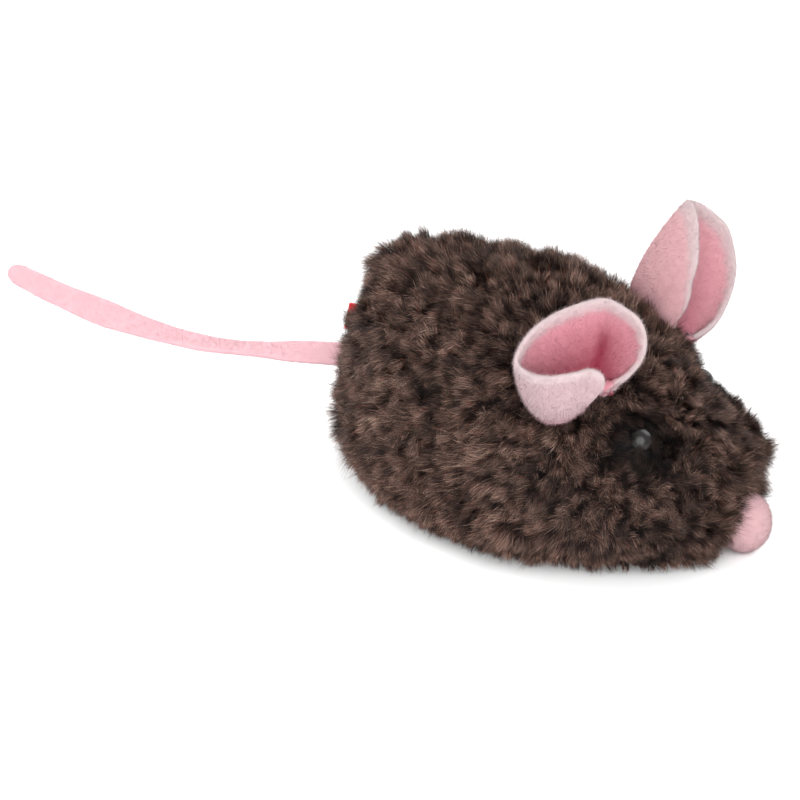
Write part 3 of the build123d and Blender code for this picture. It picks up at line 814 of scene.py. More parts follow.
@dataclass(frozen=True)
class Pile:
    """How the fur grows and how it is coloured, painted shade included."""

    length: float = 5.9 * MM
    width: float = 0.095 * MM
    depth: float = 2.0 * MM  # how far the roots lie under the cloth's surface
    clump: float = 2.0 * MM  # size of a tuft
    pull: float = 0.36  # how far a tuft's tips draw together
    root: Colour = (0.0025, 0.0014, 0.0011)
    middle: Colour = (0.0078, 0.0030, 0.0018)
    tip: Colour = (0.166, 0.104, 0.082)
    # where the pile parts on the flank; the hairs round it get painted shade
    parting: Place = (-10.7 * MM, -26.2 * MM, 36.4 * MM)
    taper: tuple[float, float] = (1.0, 0.75)
    bends: tuple[float, float, float] = (0.0, 0.58, 1.0)
    kinds: tuple[tuple[float, Colour], ...] = (  # share of the hairs, and what multiplies their colour
        (0.52, (1.0, 1.0, 1.0)), (0.18, (2.9, 3.0, 3.05)), (0.08, (1.35, 0.7, 0.6)), (0.22, (0.2, 0.2, 0.22)))

    def comb(self, places: Array) -> Array:
        """The direction in which the pile is brushed: back, but forward on the face, down at the hem.

        Args:
            places: the roots, n by 3.

        Returns:
            The directions, n by 3, not of length one.
        """
        x, y, z = places.T
        face = smooth_step(14 * MM, 34 * MM, x)
        rump = smooth_step(-30 * MM, -44 * MM, x)
        skirt = smooth_step(13 * MM, 4 * MM, z)
        high = smooth_step(30 * MM, 50 * MM, z)
        along = -0.5 - 0.2 * rump + 1.0 * face
        up = -0.32 + 0.2 * rump * high + 0.30 * face - 0.7 * skirt + 0.1 * high
        out = 0.12 * np.sign(y) * (1 - high) * (1 - skirt)
        return np.stack([along, out, up], axis=-1)

    def grow(self, roots: Roots, eyes: list[Array], seed: int) -> Strands:
        """Grow a hair from each root: an arc that starts outward and ends combed over.

        Args:
            roots: where the hairs stand.
            eyes: the middle of each eye, where the pile is short and painted dark as shade.
            seed: picks the arrangement.

        Returns:
            The hairs.
        """
        rng = default_rng(seed)
        tuft = clump_of(roots.places, self.clump, 5)
        near_eye = np.min([np.linalg.norm(roots.places - e, axis=1) for e in eyes], axis=0)
        # weight of the painted shade round the eyes; it also shortens the pile there
        dark_eye = smooth_step(11.0 * MM, 6.8 * MM, near_eye)
        length = self._lengths(roots.places, tuft, dark_eye, rng)[:, None, None]
        lean = self._leans(roots, tuft, eyes, rng)
        start = unit(roots.ups * 1.2 + lean * 0.5)[:, None]
        end = unit(roots.ups * 0.62 + lean * 1.75)[:, None]

        u = np.array(self.bends)[None, :, None]
        lines = roots.places[:, None] + length * (u * start * (1 - 0.5 * u) + 0.5 * u**2 * end)
        size = np.bincount(tuft).clip(1)
        middle = np.stack([np.bincount(tuft, tips) / size for tips in lines[:, -1].T], axis=-1)[tuft]
        lines += (self.pull * u**1.5) * (middle - lines[:, -1])[:, None]
        lines[..., 2] = np.maximum(lines[..., 2], 0.35 * MM)

        along = unit(lines[:, -1] - lines[:, 0])
        facing = roots.ups + np.array([0.0, 0.0, 0.3]) + rng.normal(0, 0.28, roots.ups.shape)
        facing = unit(facing - along * np.sum(facing * along, axis=1, keepdims=True))
        lit = unit(facing * 0.5 + roots.ups * 0.8)
        return Strands(lines, np.cross(along, facing), lit, self._colours(roots.places, tuft, dark_eye, rng))

    def _lengths(self, places: Array, tuft: Array, dark_eye: Array, rng: Generator) -> Array:
        """Length of each hair: shorter on the face, the rump's corner and the hem, uneven by tuft.

        Args:
            places: the roots, n by 3.
            tuft: the number of each hair's tuft.
            dark_eye: 1 at an eye, falling to 0 round it.
            rng: the seeded source of chance.

        Returns:
            The lengths.
        """
        x, _, z = places.T
        face = smooth_step(22 * MM, 40 * MM, x)
        corner = smooth_step(-36 * MM, -44 * MM, x) * smooth_step(26 * MM, 40 * MM, z)
        skirt = smooth_step(12 * MM, 5 * MM, z)
        muzzle = smooth_step(40 * MM, 48 * MM, x)
        slow = Waves(9 * MM, 3)(places)
        length = self.length * (1 - 0.2 * face) * (1 - 0.14 * dark_eye) * (1 + 0.16 * slow)
        length *= (1 - 0.25 * corner) * (1 - 0.45 * skirt) * (1 + 0.6 * muzzle)
        length *= rng.uniform(0.74, 1.28, tuft.max() + 1)[tuft] * rng.uniform(0.8, 1.15, len(places))
        length[rng.random(len(places)) < 0.06] *= 1.5
        return length

    def _leans(self, roots: Roots, tuft: Array, eyes: list[Array], rng: Generator) -> Array:
        """How each hair lies along the cloth: as combed, stirred by tuft, and towards a near eye.

        Args:
            roots: where the hairs stand.
            tuft: the number of each hair's tuft.
            eyes: the middle of each eye.
            rng: the seeded source of chance.

        Returns:
            Vectors at right angles to the outward directions, n by 3.
        """
        lean = self.comb(roots.places)
        lean += rng.normal(0, 0.38, (tuft.max() + 1, 3))[tuft] + rng.normal(0, 0.24, roots.ups.shape)
        for eye in eyes:
            gap = eye - roots.places
            lean += unit(gap) * 2.2 * smooth_step(8.0 * MM, 5.0 * MM, np.linalg.norm(gap, axis=1))[:, None]
        lean += np.stack([Waves(14 * MM, s)(roots.places) for s in (11, 12, 13)], axis=-1) * 0.25
        return lean - roots.ups * np.sum(lean * roots.ups, axis=1, keepdims=True)

    def _colours(self, places: Array, tuft: Array, dark_eye: Array, rng: Generator) -> Array:
        """Colour along each hair: dark at the root, light at the tip, mixed by kind and by tuft,
        with painted shade round the eyes, on the lower face and in the parting.

        Args:
            places: the roots, n by 3.
            tuft: the number of each hair's tuft.
            dark_eye: weight of the painted shade round the eyes, 1 at an eye, falling to 0 round it.
            rng: the seeded source of chance.

        Returns:
            Colours, n by 3 places by 3.
        """
        shares, tints = zip(*self.kinds)
        tint = np.array(tints)[rng.choice(len(shares), len(places), p=shares)]
        bright = rng.uniform(0.38, 1.55, tuft.max() + 1)[tuft] * rng.uniform(0.45, 1.5, len(places))
        bright *= 1 + 0.16 * Waves(16 * MM, 21)(places)
        # painted shade round the eyes
        bright *= 1 - 0.86 * dark_eye
        x, _, z = places.T
        # painted shade on the cheeks and the lower face, where less light falls
        bright *= 1 - 0.24 * smooth_step(12 * MM, 38 * MM, x) * smooth_step(34 * MM, 14 * MM, z)
        # painted shade in the gap where the pile parts
        parting = np.linalg.norm(places - np.array(self.parting), axis=1)
        bright *= 1 - 0.85 * smooth_step(4.2 * MM, 2.2 * MM, parting)
        ramp = np.array([self.root, self.middle, self.tip])[None] * tint[:, None]
        weight = np.array([0.4, 0.9, 1.0])[None, :, None]
        return np.clip(ramp * (1 + (bright[:, None, None] - 1) * weight), 0.001, 0.9)


# ------------------------------------------------------------------------------ felt pieces
@dataclass(frozen=True)
class Fuzz:
    """Short loose fibres that stand on felt."""

    per_area: float = 34e6  # fibres in a square metre
    length: float = 0.75 * MM
    width: float = 0.045 * MM
    lean: float = 0.75

    def grow(self, name: str, skins: list[Skin], tints: list[Array], seed: int) -> Mesh:
        """Grow fibres on grid surfaces.

        Args:
            name: the mesh's name.
            skins: grids of places with their outward directions.
            tints: the fibres' colour on each skin, one for all of it or a grid like the skin's.
            seed: picks the arrangement.

        Returns:
            The mesh.
        """
        rng = default_rng(seed)
        grown = []
        for (places, outward), tint in zip(skins, tints):
            count = max(60, int(cell_areas(places).sum() * self.per_area))
            roots = scatter(places, outward, count, rng)
            way = unit(roots.ups + rng.normal(0, self.lean, (count, 3)))
            way += roots.ups * np.clip(0.15 - np.sum(way * roots.ups, axis=1, keepdims=True), 0, None)
            reach = self.length * rng.uniform(0.35, 1.25, (count, 1))
            lines = np.stack([roots.places, roots.places + way * reach], axis=1)
            even = tint.ndim == 1
            colours = np.broadcast_to(tint, (count, 3)) if even else self._nearest(places, tint, roots)
            grown.append((lines, roots.ups, colours))
        lines, ups, colours = (np.concatenate(parts) for parts in zip(*grown))
        along = unit(lines[:, 1] - lines[:, 0])
        sides = unit(np.cross(along, ups + rng.normal(0, 0.3, ups.shape)))
        return Strands(lines, sides, ups, np.repeat(colours[:, None], 2, axis=1)).mesh(name, [self.width])

    @staticmethod
    def _nearest(places: Array, tint: Array, roots: Roots) -> Array:
        """Tint at the grid place nearest to each root, looked up on a coarse copy of the grid.

        Args:
            places: the grid, rows by columns by 3.
            tint: its colours, the same shape.
            roots: where the fibres stand.

        Returns:
            The colours, n by 3.
        """
        flat, values = places[::4, ::4].reshape(-1, 3), tint[::4, ::4].reshape(-1, 3)
        found = np.empty((len(roots.places), 3))
        batch = 4000
        for start in range(0, len(found), batch):
            gap = roots.places[start : start + batch, None] - flat[None]
            found[start : start + batch] = values[np.argmin((gap**2).sum(-1), axis=1)]
        return found


@dataclass(frozen=True)
class Felt:
    """What a felt piece is finished with: the cloth and the loose fibres on it."""

    cloth: Material
    fibre: Material

    def add(self, mesh: Mesh, stands_for: str, fuzz: Fuzz, skins: list[Skin],
            tints: list[Array], seed: int) -> tuple[Object, Object]:
        """Show a felt mesh and its fuzz.

        Args:
            mesh: the felt.
            stands_for: the CAD node it replaces.
            fuzz: the fibres.
            skins: where the fibres stand.
            tints: their colours.
            seed: picks their arrangement.

        Returns:
            The felt piece and the fuzz.
        """
        piece = add_piece(mesh, self.cloth, stands_for)
        fibres = fuzz.grow(mesh.name.rsplit("_", 1)[0] + "_fuzz", skins, tints, seed)
        return piece, add_piece(fibres, self.fibre)


@dataclass(frozen=True)
class EarPlan:
    """One curled felt ear: its free edge, its sewn foot, and its colours, with painted light and shade in
    them.
    """

    name: str
    rim: list[Place]  # from end to end, mm
    foot: list[Place]
    # one felt, given its own tone for each face and for each ear by how it is lit: painted light and shade
    inner: Colour
    outer: Colour
    # deep: the colour of the painted shade towards the foot and in the crease
    deep: Colour
    crease: Place = (0.0, 0.0, 0.0)  # painted shade along the crease: share of the way round the cup, half width, strength
    belly: float = 1.6  # how far the petal bows out between its foot and its edge, mm


NEAR_EAR = EarPlan(
    "ear_right",
    rim=[(27.5, -24, 44.5), (32, -24, 48.5), (35.5, -24.5, 53.5), (36.5, -25, 58.5),
         (35, -25.5, 63), (31, -26, 65.5), (27.5, -26.5, 66.5), (23.5, -28.5, 65.5),
         (19, -32, 63.5), (16, -36, 61), (14.5, -39, 58), (14.5, -41, 55), (18, -41.5, 53.5),
         (22, -41, 53.5), (24.5, -40, 54), (27, -38.5, 54.5), (29.5, -36.5, 55), (31.5, -35, 53.5),
         (31.5, -34, 51)],
    foot=[(27.5, -24.5, 44), (26, -24, 43.5), (25, -23.5, 43.5), (24, -23, 44), (24, -23, 44.5),
          (24, -23, 44), (23, -23.5, 43), (21, -25, 41.5), (19, -27.5, 40.5), (17.5, -29.5, 40),
          (17, -31, 39.5), (17, -32, 39), (18.5, -33, 39), (20, -33.5, 39.5), (21.5, -33.5, 40),
          (22.5, -33, 40.5), (23.5, -32.5, 41.5), (24.5, -32, 42.5), (25, -32, 43)],
    inner=(0.56, 0.235, 0.28), outer=(0.43, 0.31, 0.325), deep=(0.24, 0.022, 0.045),
    crease=(0.30, 0.032, 0.95),
)
FAR_EAR = EarPlan(
    "ear_left",
    rim=[(22.5, 21, 41.5), (25.5, 20.5, 44), (27.5, 20, 48), (28, 20, 52.5), (29, 20, 57),
         (28.5, 21, 61.5), (27.5, 22.5, 66), (25.5, 24.5, 69), (23.5, 26.5, 69), (26, 29, 67.5),
         (28.5, 31.5, 64.5), (31, 33, 61), (32.5, 34, 54.5), (33, 33.5, 50), (32.5, 32, 45),
         (31, 29, 40), (27.5, 25.5, 37), (25.5, 24, 37.5)],
    foot=[(22, 21, 40.5), (21, 21, 41), (19, 21, 42), (17, 21.5, 42.5), (15, 22, 43),
          (13.5, 23, 43.5), (12, 24, 43.5), (11, 25.5, 43), (10.5, 27, 42.5), (11, 28.5, 42),
          (12.5, 29.5, 40.5), (14, 30, 39.5), (16, 30, 38.5), (18.5, 29.5, 37.5), (20.5, 28.5, 37),
          (22.5, 27, 36.5), (24.5, 25.5, 36.5), (25.5, 24, 37)],
    inner=(0.64, 0.32, 0.36), outer=(0.55, 0.32, 0.34), deep=(0.50, 0.19, 0.24),
)


@dataclass
class Ear:
    """Builds one ear from its plan: the felt, and the fuzz on it."""

    plan: EarPlan
    rows: int = 30
    columns: int = 90

    def surface(self) -> Skin:
        """The felt's middle surface, bowed out between foot and rim, and the ways out of the cup."""
        rim, foot = (smooth_curve(p, self.columns) for p in (self.plan.rim, self.plan.foot))
        v = self._heights()
        flat = foot[None] * (1 - v) + rim[None] * v
        axis = flat.mean(axis=1, keepdims=True)
        places = flat + self._away(flat, axis) * (self.plan.belly * MM * np.sin(np.pi * v**0.8))
        return places, self._away(places, axis)

    def _heights(self) -> Array:
        """Share of the way from foot to rim, for each row."""
        return np.linspace(0, 1, self.rows)[:, None, None]

    @staticmethod
    def _away(places: Array, axis: Array) -> Array:
        """The grid's normals, turned to face away from its axis."""
        ups = grid_normals(places)
        return ups if np.sum(ups * (places - axis)) >= 0 else -ups

    def shade(self, places: Array, inside: bool) -> Array:
        """Tint over the grid: painted shade towards the foot and in the crease, and pale at the rim.

        Args:
            places: the grid.
            inside: whether it is the cup's inner face.

        Returns:
            The colours, in the grid's shape.
        """
        v = self._heights()
        # painted shade: darker towards the foot, strongly inside the cup and a little outside
        depth = smooth_step(0.78, 0.02, v) if inside else smooth_step(0.35, 0.0, v) * 0.35
        tone = np.array(self.plan.inner if inside else self.plan.outer)
        place, width, strength = self.plan.crease
        # painted shade along the crease inside the cup
        if inside and strength:
            around = np.linspace(0, 1, self.columns)[None, :, None]
            near = np.abs(around - place) / width
            fold = 0.7 * np.exp(-(near**2)) * smooth_step(0.8, 0.45, v) + 0.3 * np.exp(-((near / 4) ** 2))
            depth = depth + (1 - depth) * (fold * smooth_step(0.95, 0.6, v) * strength)
        pale = smooth_step(0.80, 1.0, v)
        deep, edge = np.array(self.plan.deep), np.array(PALE_EDGE)
        full = (tone * (1 - depth) + deep * depth) * (1 - pale) + edge * pale
        return np.broadcast_to(full, places.shape)

    def build(self, felt: Felt, seed: int) -> None:
        """Args:
            felt: its materials.
            seed: picks the fuzz's arrangement.
        """
        places, ups = self.surface()
        thinner = 1 - 0.55 * smooth_step(0.93, 1.0, self._heights())
        half = ups * (FELT_THICKNESS / 2) * thinner
        outer, inner = places + half, places - half
        mesh = self._shell(outer, inner, ups)
        # the colours with their painted shade, for the felt and for its fuzz
        tints = [self.shade(places, False), self.shade(places, True)]
        paint_points(mesh, np.concatenate([t.reshape(-1, 3) for t in tints]))
        skins = [(outer, ups), (inner, -ups), self._edge_skin(places, ups)]
        petal, fibres = felt.add(mesh, self.plan.name, Fuzz(), skins, [*tints, np.array(PALE_EDGE)], seed)
        steps = ((axis, np.linalg.norm(np.diff(places, axis=axis), axis=-1)) for axis in (1, 0))
        wide, long = (float(step.sum(axis=axis).max()) for axis, step in steps)
        float(cell_areas(places).sum())
        log.info("ear %s: flat %.1f by %.1f mm", self.plan.name, wide / MM, long / MM)

    def _shell(self, outer: Array, inner: Array, ups: Array) -> Mesh:
        """Join the two faces round their border into one closed solid.

        Args:
            outer: the outer face's grid.
            inner: the inner face's.
            ups: the directions out of the cup.

        Returns:
            The mesh, with its faces outward.
        """
        cells, count = grid_faces(self.rows, self.columns), self.rows * self.columns
        number = np.arange(count).reshape(self.rows, self.columns)
        rim = np.concatenate([number[0], number[1:, -1], number[-1, -2::-1], number[-2:0:-1, 0]])
        after = np.roll(rim, -1)
        edge = np.stack([rim, after, after + count, rim + count], axis=-1)
        turned = np.sum(np.cross(outer[1, 0] - outer[0, 0], outer[0, 1] - outer[0, 0]) * ups[0, 0]) > 0
        faces = [cells, (cells + count)[:, ::-1], edge[:, ::-1]]
        if turned:
            faces = [face[:, ::-1] for face in faces]
        points = np.concatenate([outer.reshape(-1, 3), inner.reshape(-1, 3)])
        return mesh_from(self.plan.name + "_felt", points, faces)

    @staticmethod
    def _edge_skin(places: Array, ups: Array) -> Skin:
        """A narrow strip along the free edge, facing away from the foot."""
        edge, away = places[-1], unit(places[-1] - places[-3])
        strip = edge[None] + ups[-1][None] * np.linspace(-0.35, 0.35, 5)[:, None, None] * FELT_THICKNESS
        return strip, np.broadcast_to(away[None], strip.shape)


@dataclass(frozen=True)
class TailPlan:
    """The felt strip of the tail: its route, how it twists, and its width."""

    route: tuple[Place, ...] = (  # mm
        (-44.0, 0, 24.9), (-52.6, 0, 24.4), (-70, 0, 21.4), (-87.3, 0, 18.8), (-103, 0, 18.6),
        (-118.3, 0, 20.0), (-133, 0, 22.6), (-146.0, 0, 25.9))
    turns: tuple[tuple[float, float], ...] = (  # share of the way along, degrees
        (0.0, 90), (0.1, 80), (0.24, 34), (0.36, 6), (0.5, 12), (0.62, 28), (0.75, 52), (0.86, 60), (1.0, 52))
    widths: tuple[tuple[float, float], ...] = (  # share of the way along, mm
        (0.0, 5.6), (0.3, 5.4), (0.6, 5.8), (0.8, 6.2), (1.0, 5.4))


@dataclass
class Tail:
    """Builds the tail's felt strip and its fuzz."""

    felt: Felt
    plan: TailPlan = TailPlan()
    rows: int = 160
    around: int = 28
    squareness: float = 0.55  # power of the sine and cosine that give the section its flat sides

    def skin(self) -> Skin:
        """The strip's outer surface as a grid along and around, with its outward directions."""
        line = smooth_curve(list(self.plan.route), self.rows)
        along = unit(np.gradient(line, axis=0))
        side = np.array([0.0, -1.0, 0.0])
        up = unit(np.cross(along, side))
        up *= np.sign(up[:, 2:3])
        turn = self._turns()
        normal = np.cos(turn) * up + np.sin(turn) * side
        across = unit(np.cross(along, normal))
        left = np.linalg.norm(line[-1] - line, axis=1)
        half = np.interp(np.linspace(0, 1, self.rows), *zip(*self.plan.widths)) * MM / 2
        half *= self._rounded(left, 4 * MM, 0.004)
        half *= 1 + 0.05 * Waves(17 * MM, 31)(line)
        thick = FELT_THICKNESS / 2 * self._rounded(left, 0.9 * MM, 0.01)
        a = np.linspace(0, 2 * np.pi, self.around, endpoint=False)
        wide, deep = (np.sign(v) * np.abs(v) ** self.squareness for v in (np.cos(a), np.sin(a)))
        places = (line[:, None] + across[:, None] * (half[:, None] * wide)[..., None]
                  + normal[:, None] * (thick[:, None] * deep)[..., None])
        ups = unit(across[:, None] * (np.sign(np.cos(a)) * np.abs(np.cos(a)) ** 3 * 0.9)[None, :, None]
                   + normal[:, None] * np.sin(a)[None, :, None])
        return places, ups

    def _turns(self) -> Array:
        """The strip's twist at each row, smoothed by a moving mean with a raised-cosine weight."""
        turn = np.radians(np.interp(np.linspace(0, 1, self.rows), *zip(*self.plan.turns)))
        kernel = np.hanning(21) / np.hanning(21).sum()
        return np.convolve(np.pad(turn, 10, mode="edge"), kernel, mode="valid")[:, None]

    @staticmethod
    def _rounded(left: Array, radius: float, least: float) -> Array:
        """Share of the full size within a radius of the tip, by a quarter circle."""
        return np.sqrt(np.clip(1 - np.clip(1 - left / radius, 0, 1) ** 2, least, 1))

    def build(self) -> None:
        """Make the strip, stretched to the end of the CAD tail, and its fuzz."""
        places, ups = self.skin()
        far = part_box("tail")[0][0]
        near_tip = smooth_step(0.6, 1.0, np.linspace(0, 1, self.rows))[:, None]
        places[..., 0] += (far - places[..., 0].min()) * near_tip
        mesh = tube_mesh("tail_felt", places)
        skin = tuple(np.concatenate([grid, grid[:, :1]], axis=1) for grid in (places, ups))
        self.felt.add(mesh, "tail", Fuzz(30e6, 0.7 * MM), [skin], [np.array((0.60, 0.38, 0.41))], 41)
        log.info("tail: %d faces", len(mesh.polygons))


@dataclass
class Nose:
    """Builds the felted ball of the nose."""

    felt: Felt
    rows: int = 40
    columns: int = 64

    def build(self) -> None:
        """Make the ball, sized from the CAD nose, and its fuzz."""
        low, high = (np.array(corner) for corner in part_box("nose"))
        middle, half = (low + high) / 2, (high - low) / 2
        ball = ball_grid(self.rows, np.linspace(0, 2 * np.pi, self.columns)[None, :])
        lumps = 1 + 0.018 * Waves(7 * MM, 51)(ball * half)[..., None]
        places = middle + ball * half * np.where(lumps > 1, 1, lumps)
        mesh = tube_mesh("nose_ball", places[:, :-1])
        skin, tint = (places, unit(ball / half)), np.array((0.49, 0.33, 0.345))
        piece, _ = self.felt.add(mesh, "nose", Fuzz(34e6, 0.7 * MM), [skin], [tint], 52)
        log.info("nose: %.1f mm wide", half[0] * 2 / MM)


@dataclass
class Eye:
    """Builds one bead eye, which sits deeper in the pile than its CAD bead."""

    name: str
    sunk: float = 1.5 * MM
    size: float = 0.7  # share of the CAD bead's radius
    rows: int = 48

    def build(self, glass: Material) -> None:
        """Make the bead, sized from the CAD bead and moved in along its axis.

        Args:
            glass: its material.
        """
        low, high = (np.array(corner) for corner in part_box(self.name))
        side = 1.0 if low[1] > 0 else -1.0
        facing = unit(np.array([0.55, 0.51 * side, 0.65]))
        radius = BEAD_RADIUS
        outermost = max(abs(low[1]), abs(high[1]))
        middle = np.array([high[0] - radius, side * (outermost - radius), high[2] - radius])
        ball = ball_grid(self.rows, np.linspace(0, 2 * np.pi, 2 * self.rows, endpoint=False)[None, :])
        places = middle - facing * self.sunk + ball * radius * self.size
        add_piece(tube_mesh(self.name + "_bead", places), glass, self.name)
        log.info("eye %s: bead of %.1f mm", self.name, 2 * radius * self.size / MM)


@dataclass(frozen=True)
class Tag:
    """The blank folded tape sewn into the back seam."""

    inset: float = 0.7 * MM  # how far it stands inside the CAD tag's outline
    tape: float = 0.32 * MM
    gap: float = 0.12 * MM
    slant: float = 0.22

    def outline(self, near: float, far: float) -> Array:
        """The folded tape seen from above: two strips joined by half rings at the outer end.

        Args:
            near: where the strips end in the seam.
            far: where the fold ends.

        Returns:
            Places of x and y, n by 2.
        """
        turn = np.linspace(-np.pi / 2, -3 * np.pi / 2, 13)
        outer, inner = self.gap / 2 + self.tape, self.gap / 2

        def bend(radius: float) -> Array:
            """Half a ring round the fold."""
            return np.stack([far + outer + radius * np.cos(turn), radius * np.sin(turn)], axis=-1)

        def end(y: float) -> Array:
            """A corner in the seam."""
            return np.array([[near, y]])

        return np.vstack([end(-outer), bend(outer), end(outer), end(inner), bend(inner)[::-1], end(-inner)])

    def build(self, cloth: Material) -> None:
        """Make the tape: the outline carried up the seam with a slant.

        Args:
            cloth: its material.
        """
        low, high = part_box("label")
        loop = self.outline(high[0], low[0] + self.inset)
        heights = np.linspace(low[2] + self.inset, high[2] - self.inset * 0.8, 9)
        x = loop[:, 0] + (heights[:, None] - heights[0]) * self.slant
        mesh = tube_mesh("tag_tape", np.stack(np.broadcast_arrays(x, loop[:, 1], heights[:, None]), axis=-1))
        mesh.polygons.foreach_set("use_smooth", np.zeros(len(mesh.polygons), bool))
        add_piece(mesh, cloth, "label")
        log.info("tag: %d faces", len(mesh.polygons))


@dataclass
class FurCoat:
    """Builds the cloth of the body and the pile on it, in panels."""

    shape: BodyShape
    pile: Pile = Pile()
    hairs: int = 60000  # roots tried in a panel
    panels: int = 4
    tail_seat: float = 24.6 * MM
    key_seat: Place = (-17.06 * MM, 27 * MM, 28.53 * MM)

    def bald(self) -> list[Bald]:
        """Where no pile grows: at the eyes, the nose, the tail, the parting and the key."""
        nodes = {"eye_left": 2.1, "eye_right": 2.1, "nose": 6.2}
        spots = [Bald(tuple(self._middle(node)), radius * MM) for node, radius in nodes.items()]
        spots.append(Bald((self.shape.rear, 0.0, self.tail_seat), 3.0 * MM))
        return [*spots, Bald(self.pile.parting, 1.5 * MM), Bald(self.key_seat, 3.0 * MM)]

    @staticmethod
    def _middle(node: str) -> Array:
        """Centre of a CAD node's box."""
        low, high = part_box(node)
        return (np.array(low) + np.array(high)) / 2

    def build(self, cloth: Material, fur: Material) -> None:
        """Make both halves.

        Args:
            cloth: material of the backing.
            fur: material of the pile.
        """
        eyes = [self._middle("eye_left"), self._middle("eye_right")]
        widths = np.array(self.pile.taper) * self.pile.width
        for side, name, ear in ((-1, "right", NEAR_EAR), (1, "left", FAR_EAR)):
            self._backing(side, name, cloth)
            rng = default_rng(61 + side)
            places, ups = self.shape.grid(side, grow=-self.pile.depth)
            roots = scatter(places, ups, self.hairs * self.panels, rng)
            clear = np.all([b.clear_of(roots.places) for b in self.bald()], axis=0)
            roots = roots.kept(clear & self._clear_of_ear(roots, ear))
            order = np.argsort(roots.places[:, 0])
            hairs = self.pile.grow(roots, eyes, 71 + side)
            for number, part in enumerate(np.array_split(order, self.panels), 1):
                add_piece(hairs.mesh(f"fur_{name}_{number}", widths, part), fur)
                log.info("fur %s %d: %d hairs", name, number, len(part))

    @staticmethod
    def _clear_of_ear(roots: Roots, ear: EarPlan) -> Array:
        """False for roots right under an ear's felt.

        Args:
            roots: the roots.
            ear: the ear.

        Returns:
            A truth value for each root.
        """
        gap = np.full(len(roots.places), np.inf)
        for place in smooth_curve(ear.foot, 40):
            gap = np.minimum(gap, np.linalg.norm(roots.places - place, axis=1))
        return gap > 1.5 * MM

    def _backing(self, side: int, name: str, cloth: Material) -> None:
        """Make one half of the cloth as a closed shell just under the pile.

        Args:
            side: -1 for the right half, 1 for the left.
            name: that side's name.
            cloth: its material.
        """
        outer, inner = (self.shape.grid(side, 70, 44, grow=-depth)[0] for depth in (1.8 * MM, 4.0 * MM))
        mesh = tube_mesh(f"pile_backing_{name}", np.concatenate([outer, inner[:, ::-1]], axis=1))
        add_piece(mesh, cloth, f"cover_{name}")
        log.info("backing %s: %d faces", name, len(mesh.polygons))


# ------------------------------------------------------------------------------ CAD pieces
FINISHES = {
    "eye_black": BeadFinish(),
    "white_plastic": MouldedFinish("white_moulding", (0.62, 0.61, 0.58)),
    "red_tape": WovenFinish("red_tape", (0.78, 0.014, 0.024), (0.55, 0.008, 0.014)),
    "base_plastic": MouldedFinish("black_moulding", (0.022, 0.022, 0.024), 0.5),
    "backing": WovenFinish("turned_backing", (0.10, 0.066, 0.05), (0.05, 0.032, 0.024), 0.0006),
    "elastic": RubberFinish("elastic", (0.60, 0.57, 0.50), (0.72, 0.70, 0.64)),
    "steel": MetalFinish("turned_steel", (0.62, 0.61, 0.59), (0.40, 0.38, 0.35), 0.34),
    "spring_steel": MetalFinish("blued_spring", (0.20, 0.23, 0.33), (0.13, 0.12, 0.14), 0.30),
    "gear_brass": MetalFinish("stamped_brass", (0.78, 0.56, 0.24), (0.52, 0.34, 0.12), 0.32),
    "key_steel": MetalFinish("nickel_plate", (0.74, 0.73, 0.70), (0.52, 0.50, 0.46), 0.20),
    "wheel_plastic": MouldedFinish("ivory_moulding", (0.66, 0.62, 0.54)),
    "tyre_rubber": RubberFinish("tyre_rubber", (0.018, 0.018, 0.018), (0.07, 0.066, 0.06)),
    "filling": FeltFinish("fibre_fill", (0.80, 0.79, 0.75), (0.62, 0.60, 0.56)),
}


@dataclass
class Dresser:
    """Gives each CAD node the finish of its material slot."""

    record: dict
    made: dict[str, Material] = field(default_factory=dict)

    def finish_of(self, slot: str) -> Material:
        """The material of a slot, made once."""
        if slot not in self.made:
            self.made[slot] = FINISHES[slot].material()
        return self.made[slot]

    def dress(self, nodes: dict[str, Object]) -> None:
        """Set the materials.

        Args:
            nodes: the CAD nodes' objects by name.
        """
        for entry in self.record["subparts"]:
            name, slot = entry["node"], entry["material_slot"]
            if name not in nodes or slot not in FINISHES:
                continue
            piece = nodes[name]
            piece.data.materials.clear()
            piece.data.materials.append(self.finish_of(slot))
            slot == "filling"
            log.info("%s: %s", name, slot)


# ------------------------------------------------------------------------------ the studio
@dataclass(frozen=True)
class SoftLight:
    """One round area light that looks at the object."""

    name: str
    azimuth: float
    elevation: float
    distance: float
    radius: float
    radiance: float


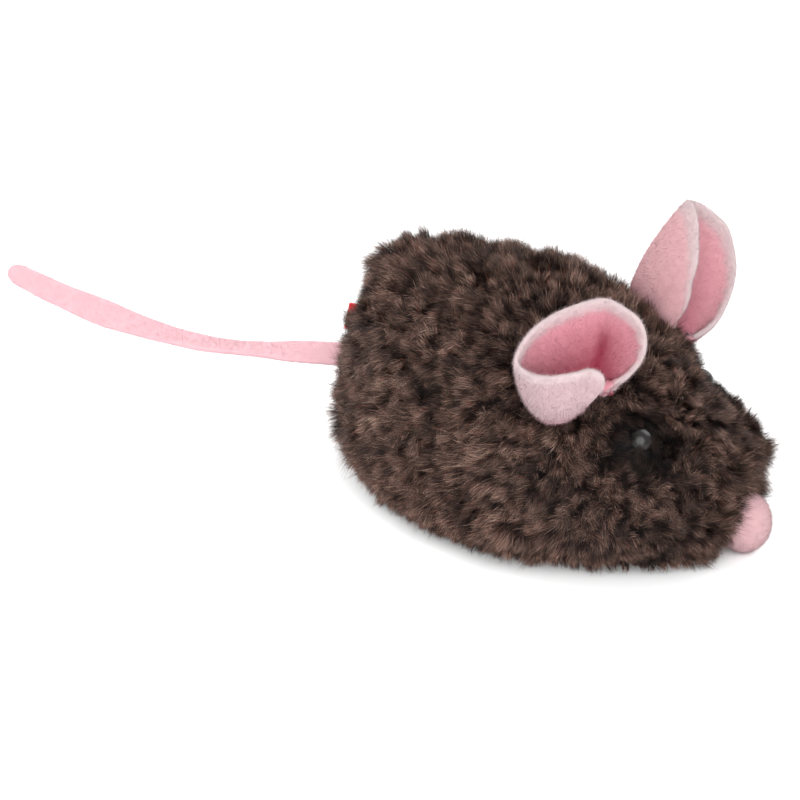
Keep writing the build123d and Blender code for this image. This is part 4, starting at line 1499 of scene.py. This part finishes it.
@dataclass(frozen=True)
class Studio:
    """A white floor and surround, and large soft lights by the camera, behind it and opposite."""

    aim: Place = (-0.0358, 0.0, 0.0163)
    azimuth: float = 29.0
    elevation: float = 26.5
    distance: float = 0.6
    lens: float = 114.75
    surround: float = 0.95
    floor_reach: float = 3.0
    lights: tuple[SoftLight, ...] = (
        SoftLight("front_box", 36.0, 32.0, 0.9, 0.52, 4.5),
        SoftLight("rear_box", -92.0, 30.0, 0.9, 0.40, 4.5),
        SoftLight("far_box", 160.0, 38.0, 0.9, 0.40, 3.0),
    )

    def build(self) -> None:
        """Make the floor, the surround, the lights and the camera."""
        bpy.context.scene.view_settings.view_transform = "Standard"
        self._floor()
        world = bpy.data.worlds.new("surround")
        bpy.context.scene.world = world
        world.use_nodes = True
        background = world.node_tree.nodes["Background"].inputs
        background["Color"].default_value = (1.0, 1.0, 1.0, 1.0)
        background["Strength"].default_value = self.surround
        for light in self.lights:
            data = bpy.data.lights.new(light.name, "AREA")
            data.shape, data.size = "DISK", 2 * light.radius
            data.energy = light.radiance * np.pi * np.pi * light.radius**2
            self._aimed(data, light.azimuth, light.elevation, light.distance)
        data = bpy.data.cameras.new("camera")
        data.sensor_width, data.lens = 36.0, self.lens
        data.clip_start, data.clip_end = 0.02, 20.0
        bpy.context.scene.camera = self._aimed(data, self.azimuth, self.elevation, self.distance)

    def _floor(self) -> None:
        """Add the floor, white with a slow drift."""
        corners = np.array([(-1, -1, 0), (1, -1, 0), (1, 1, 0), (-1, 1, 0)], float) * self.floor_reach
        mesh = mesh_from("floor", corners, [np.array([[0, 1, 2, 3]])])
        paint = Paint("studio_floor", Roughness=0.8)
        paint.colour_by(paint.noise(9.0), (0.0, (0.86, 0.86, 0.86)), (1.0, (0.90, 0.90, 0.90)))
        mesh.materials.append(paint.material)
        add_object("floor", mesh)

    def _aimed(self, data: ID, azimuth: float, elevation: float, distance: float) -> Object:
        """Add a light or the camera, looking at the object.

        Args:
            data: the light or the camera.
            azimuth: degrees from the mouse's right side towards its nose.
            elevation: degrees above the floor.
            distance: metres from the aim.

        Returns:
            Its object.
        """
        a, e = radians(azimuth), radians(elevation)
        back = Vector((sin(a) * cos(e), -cos(a) * cos(e), sin(e)))
        made = add_object(data.name, data)
        made.location = Vector(self.aim) + back * distance
        made.rotation_euler = (-back).to_track_quat("-Z", "Y").to_euler()
        return made


# ------------------------------------------------------------------------------ the object
@dataclass
class Mouse:
    """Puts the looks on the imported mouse."""

    nodes: dict[str, Object]
    record: dict

    def build(self) -> None:
        """Make every piece that is drawn here and dress the rest."""
        fibre = FibreFinish().material()
        ear_felt = FeltFinish("ear_felt", (1.0, 1.0, 1.0), (0.86, 0.80, 0.81), stored_shade=True).material()
        tail_felt = FeltFinish("tail_felt", (0.60, 0.365, 0.395), (0.54, 0.30, 0.34)).material()
        nose_felt = FeltFinish("nose_felt", (0.46, 0.29, 0.305), (0.41, 0.235, 0.25)).material()
        dresser = Dresser(self.record)
        FurCoat(BodyShape.measured()).build(BackingFinish().material(), FurFinish().material())
        Ear(NEAR_EAR).build(Felt(ear_felt, fibre), 81)
        Ear(FAR_EAR).build(Felt(ear_felt, fibre), 82)
        Tail(Felt(tail_felt, fibre)).build()
        Nose(Felt(nose_felt, fibre)).build()
        for name in ("eye_left", "eye_right"):
            Eye(name).build(dresser.finish_of("eye_black"))
        Tag().build(dresser.finish_of("red_tape"))
        dresser.dress(self.nodes)


def main() -> None:
    """Build the mouse and the studio."""
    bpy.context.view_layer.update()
    Mouse(frame["nodes"], frame["record"]).build()
    Studio().build()


if __name__ == "__main__":
    main()
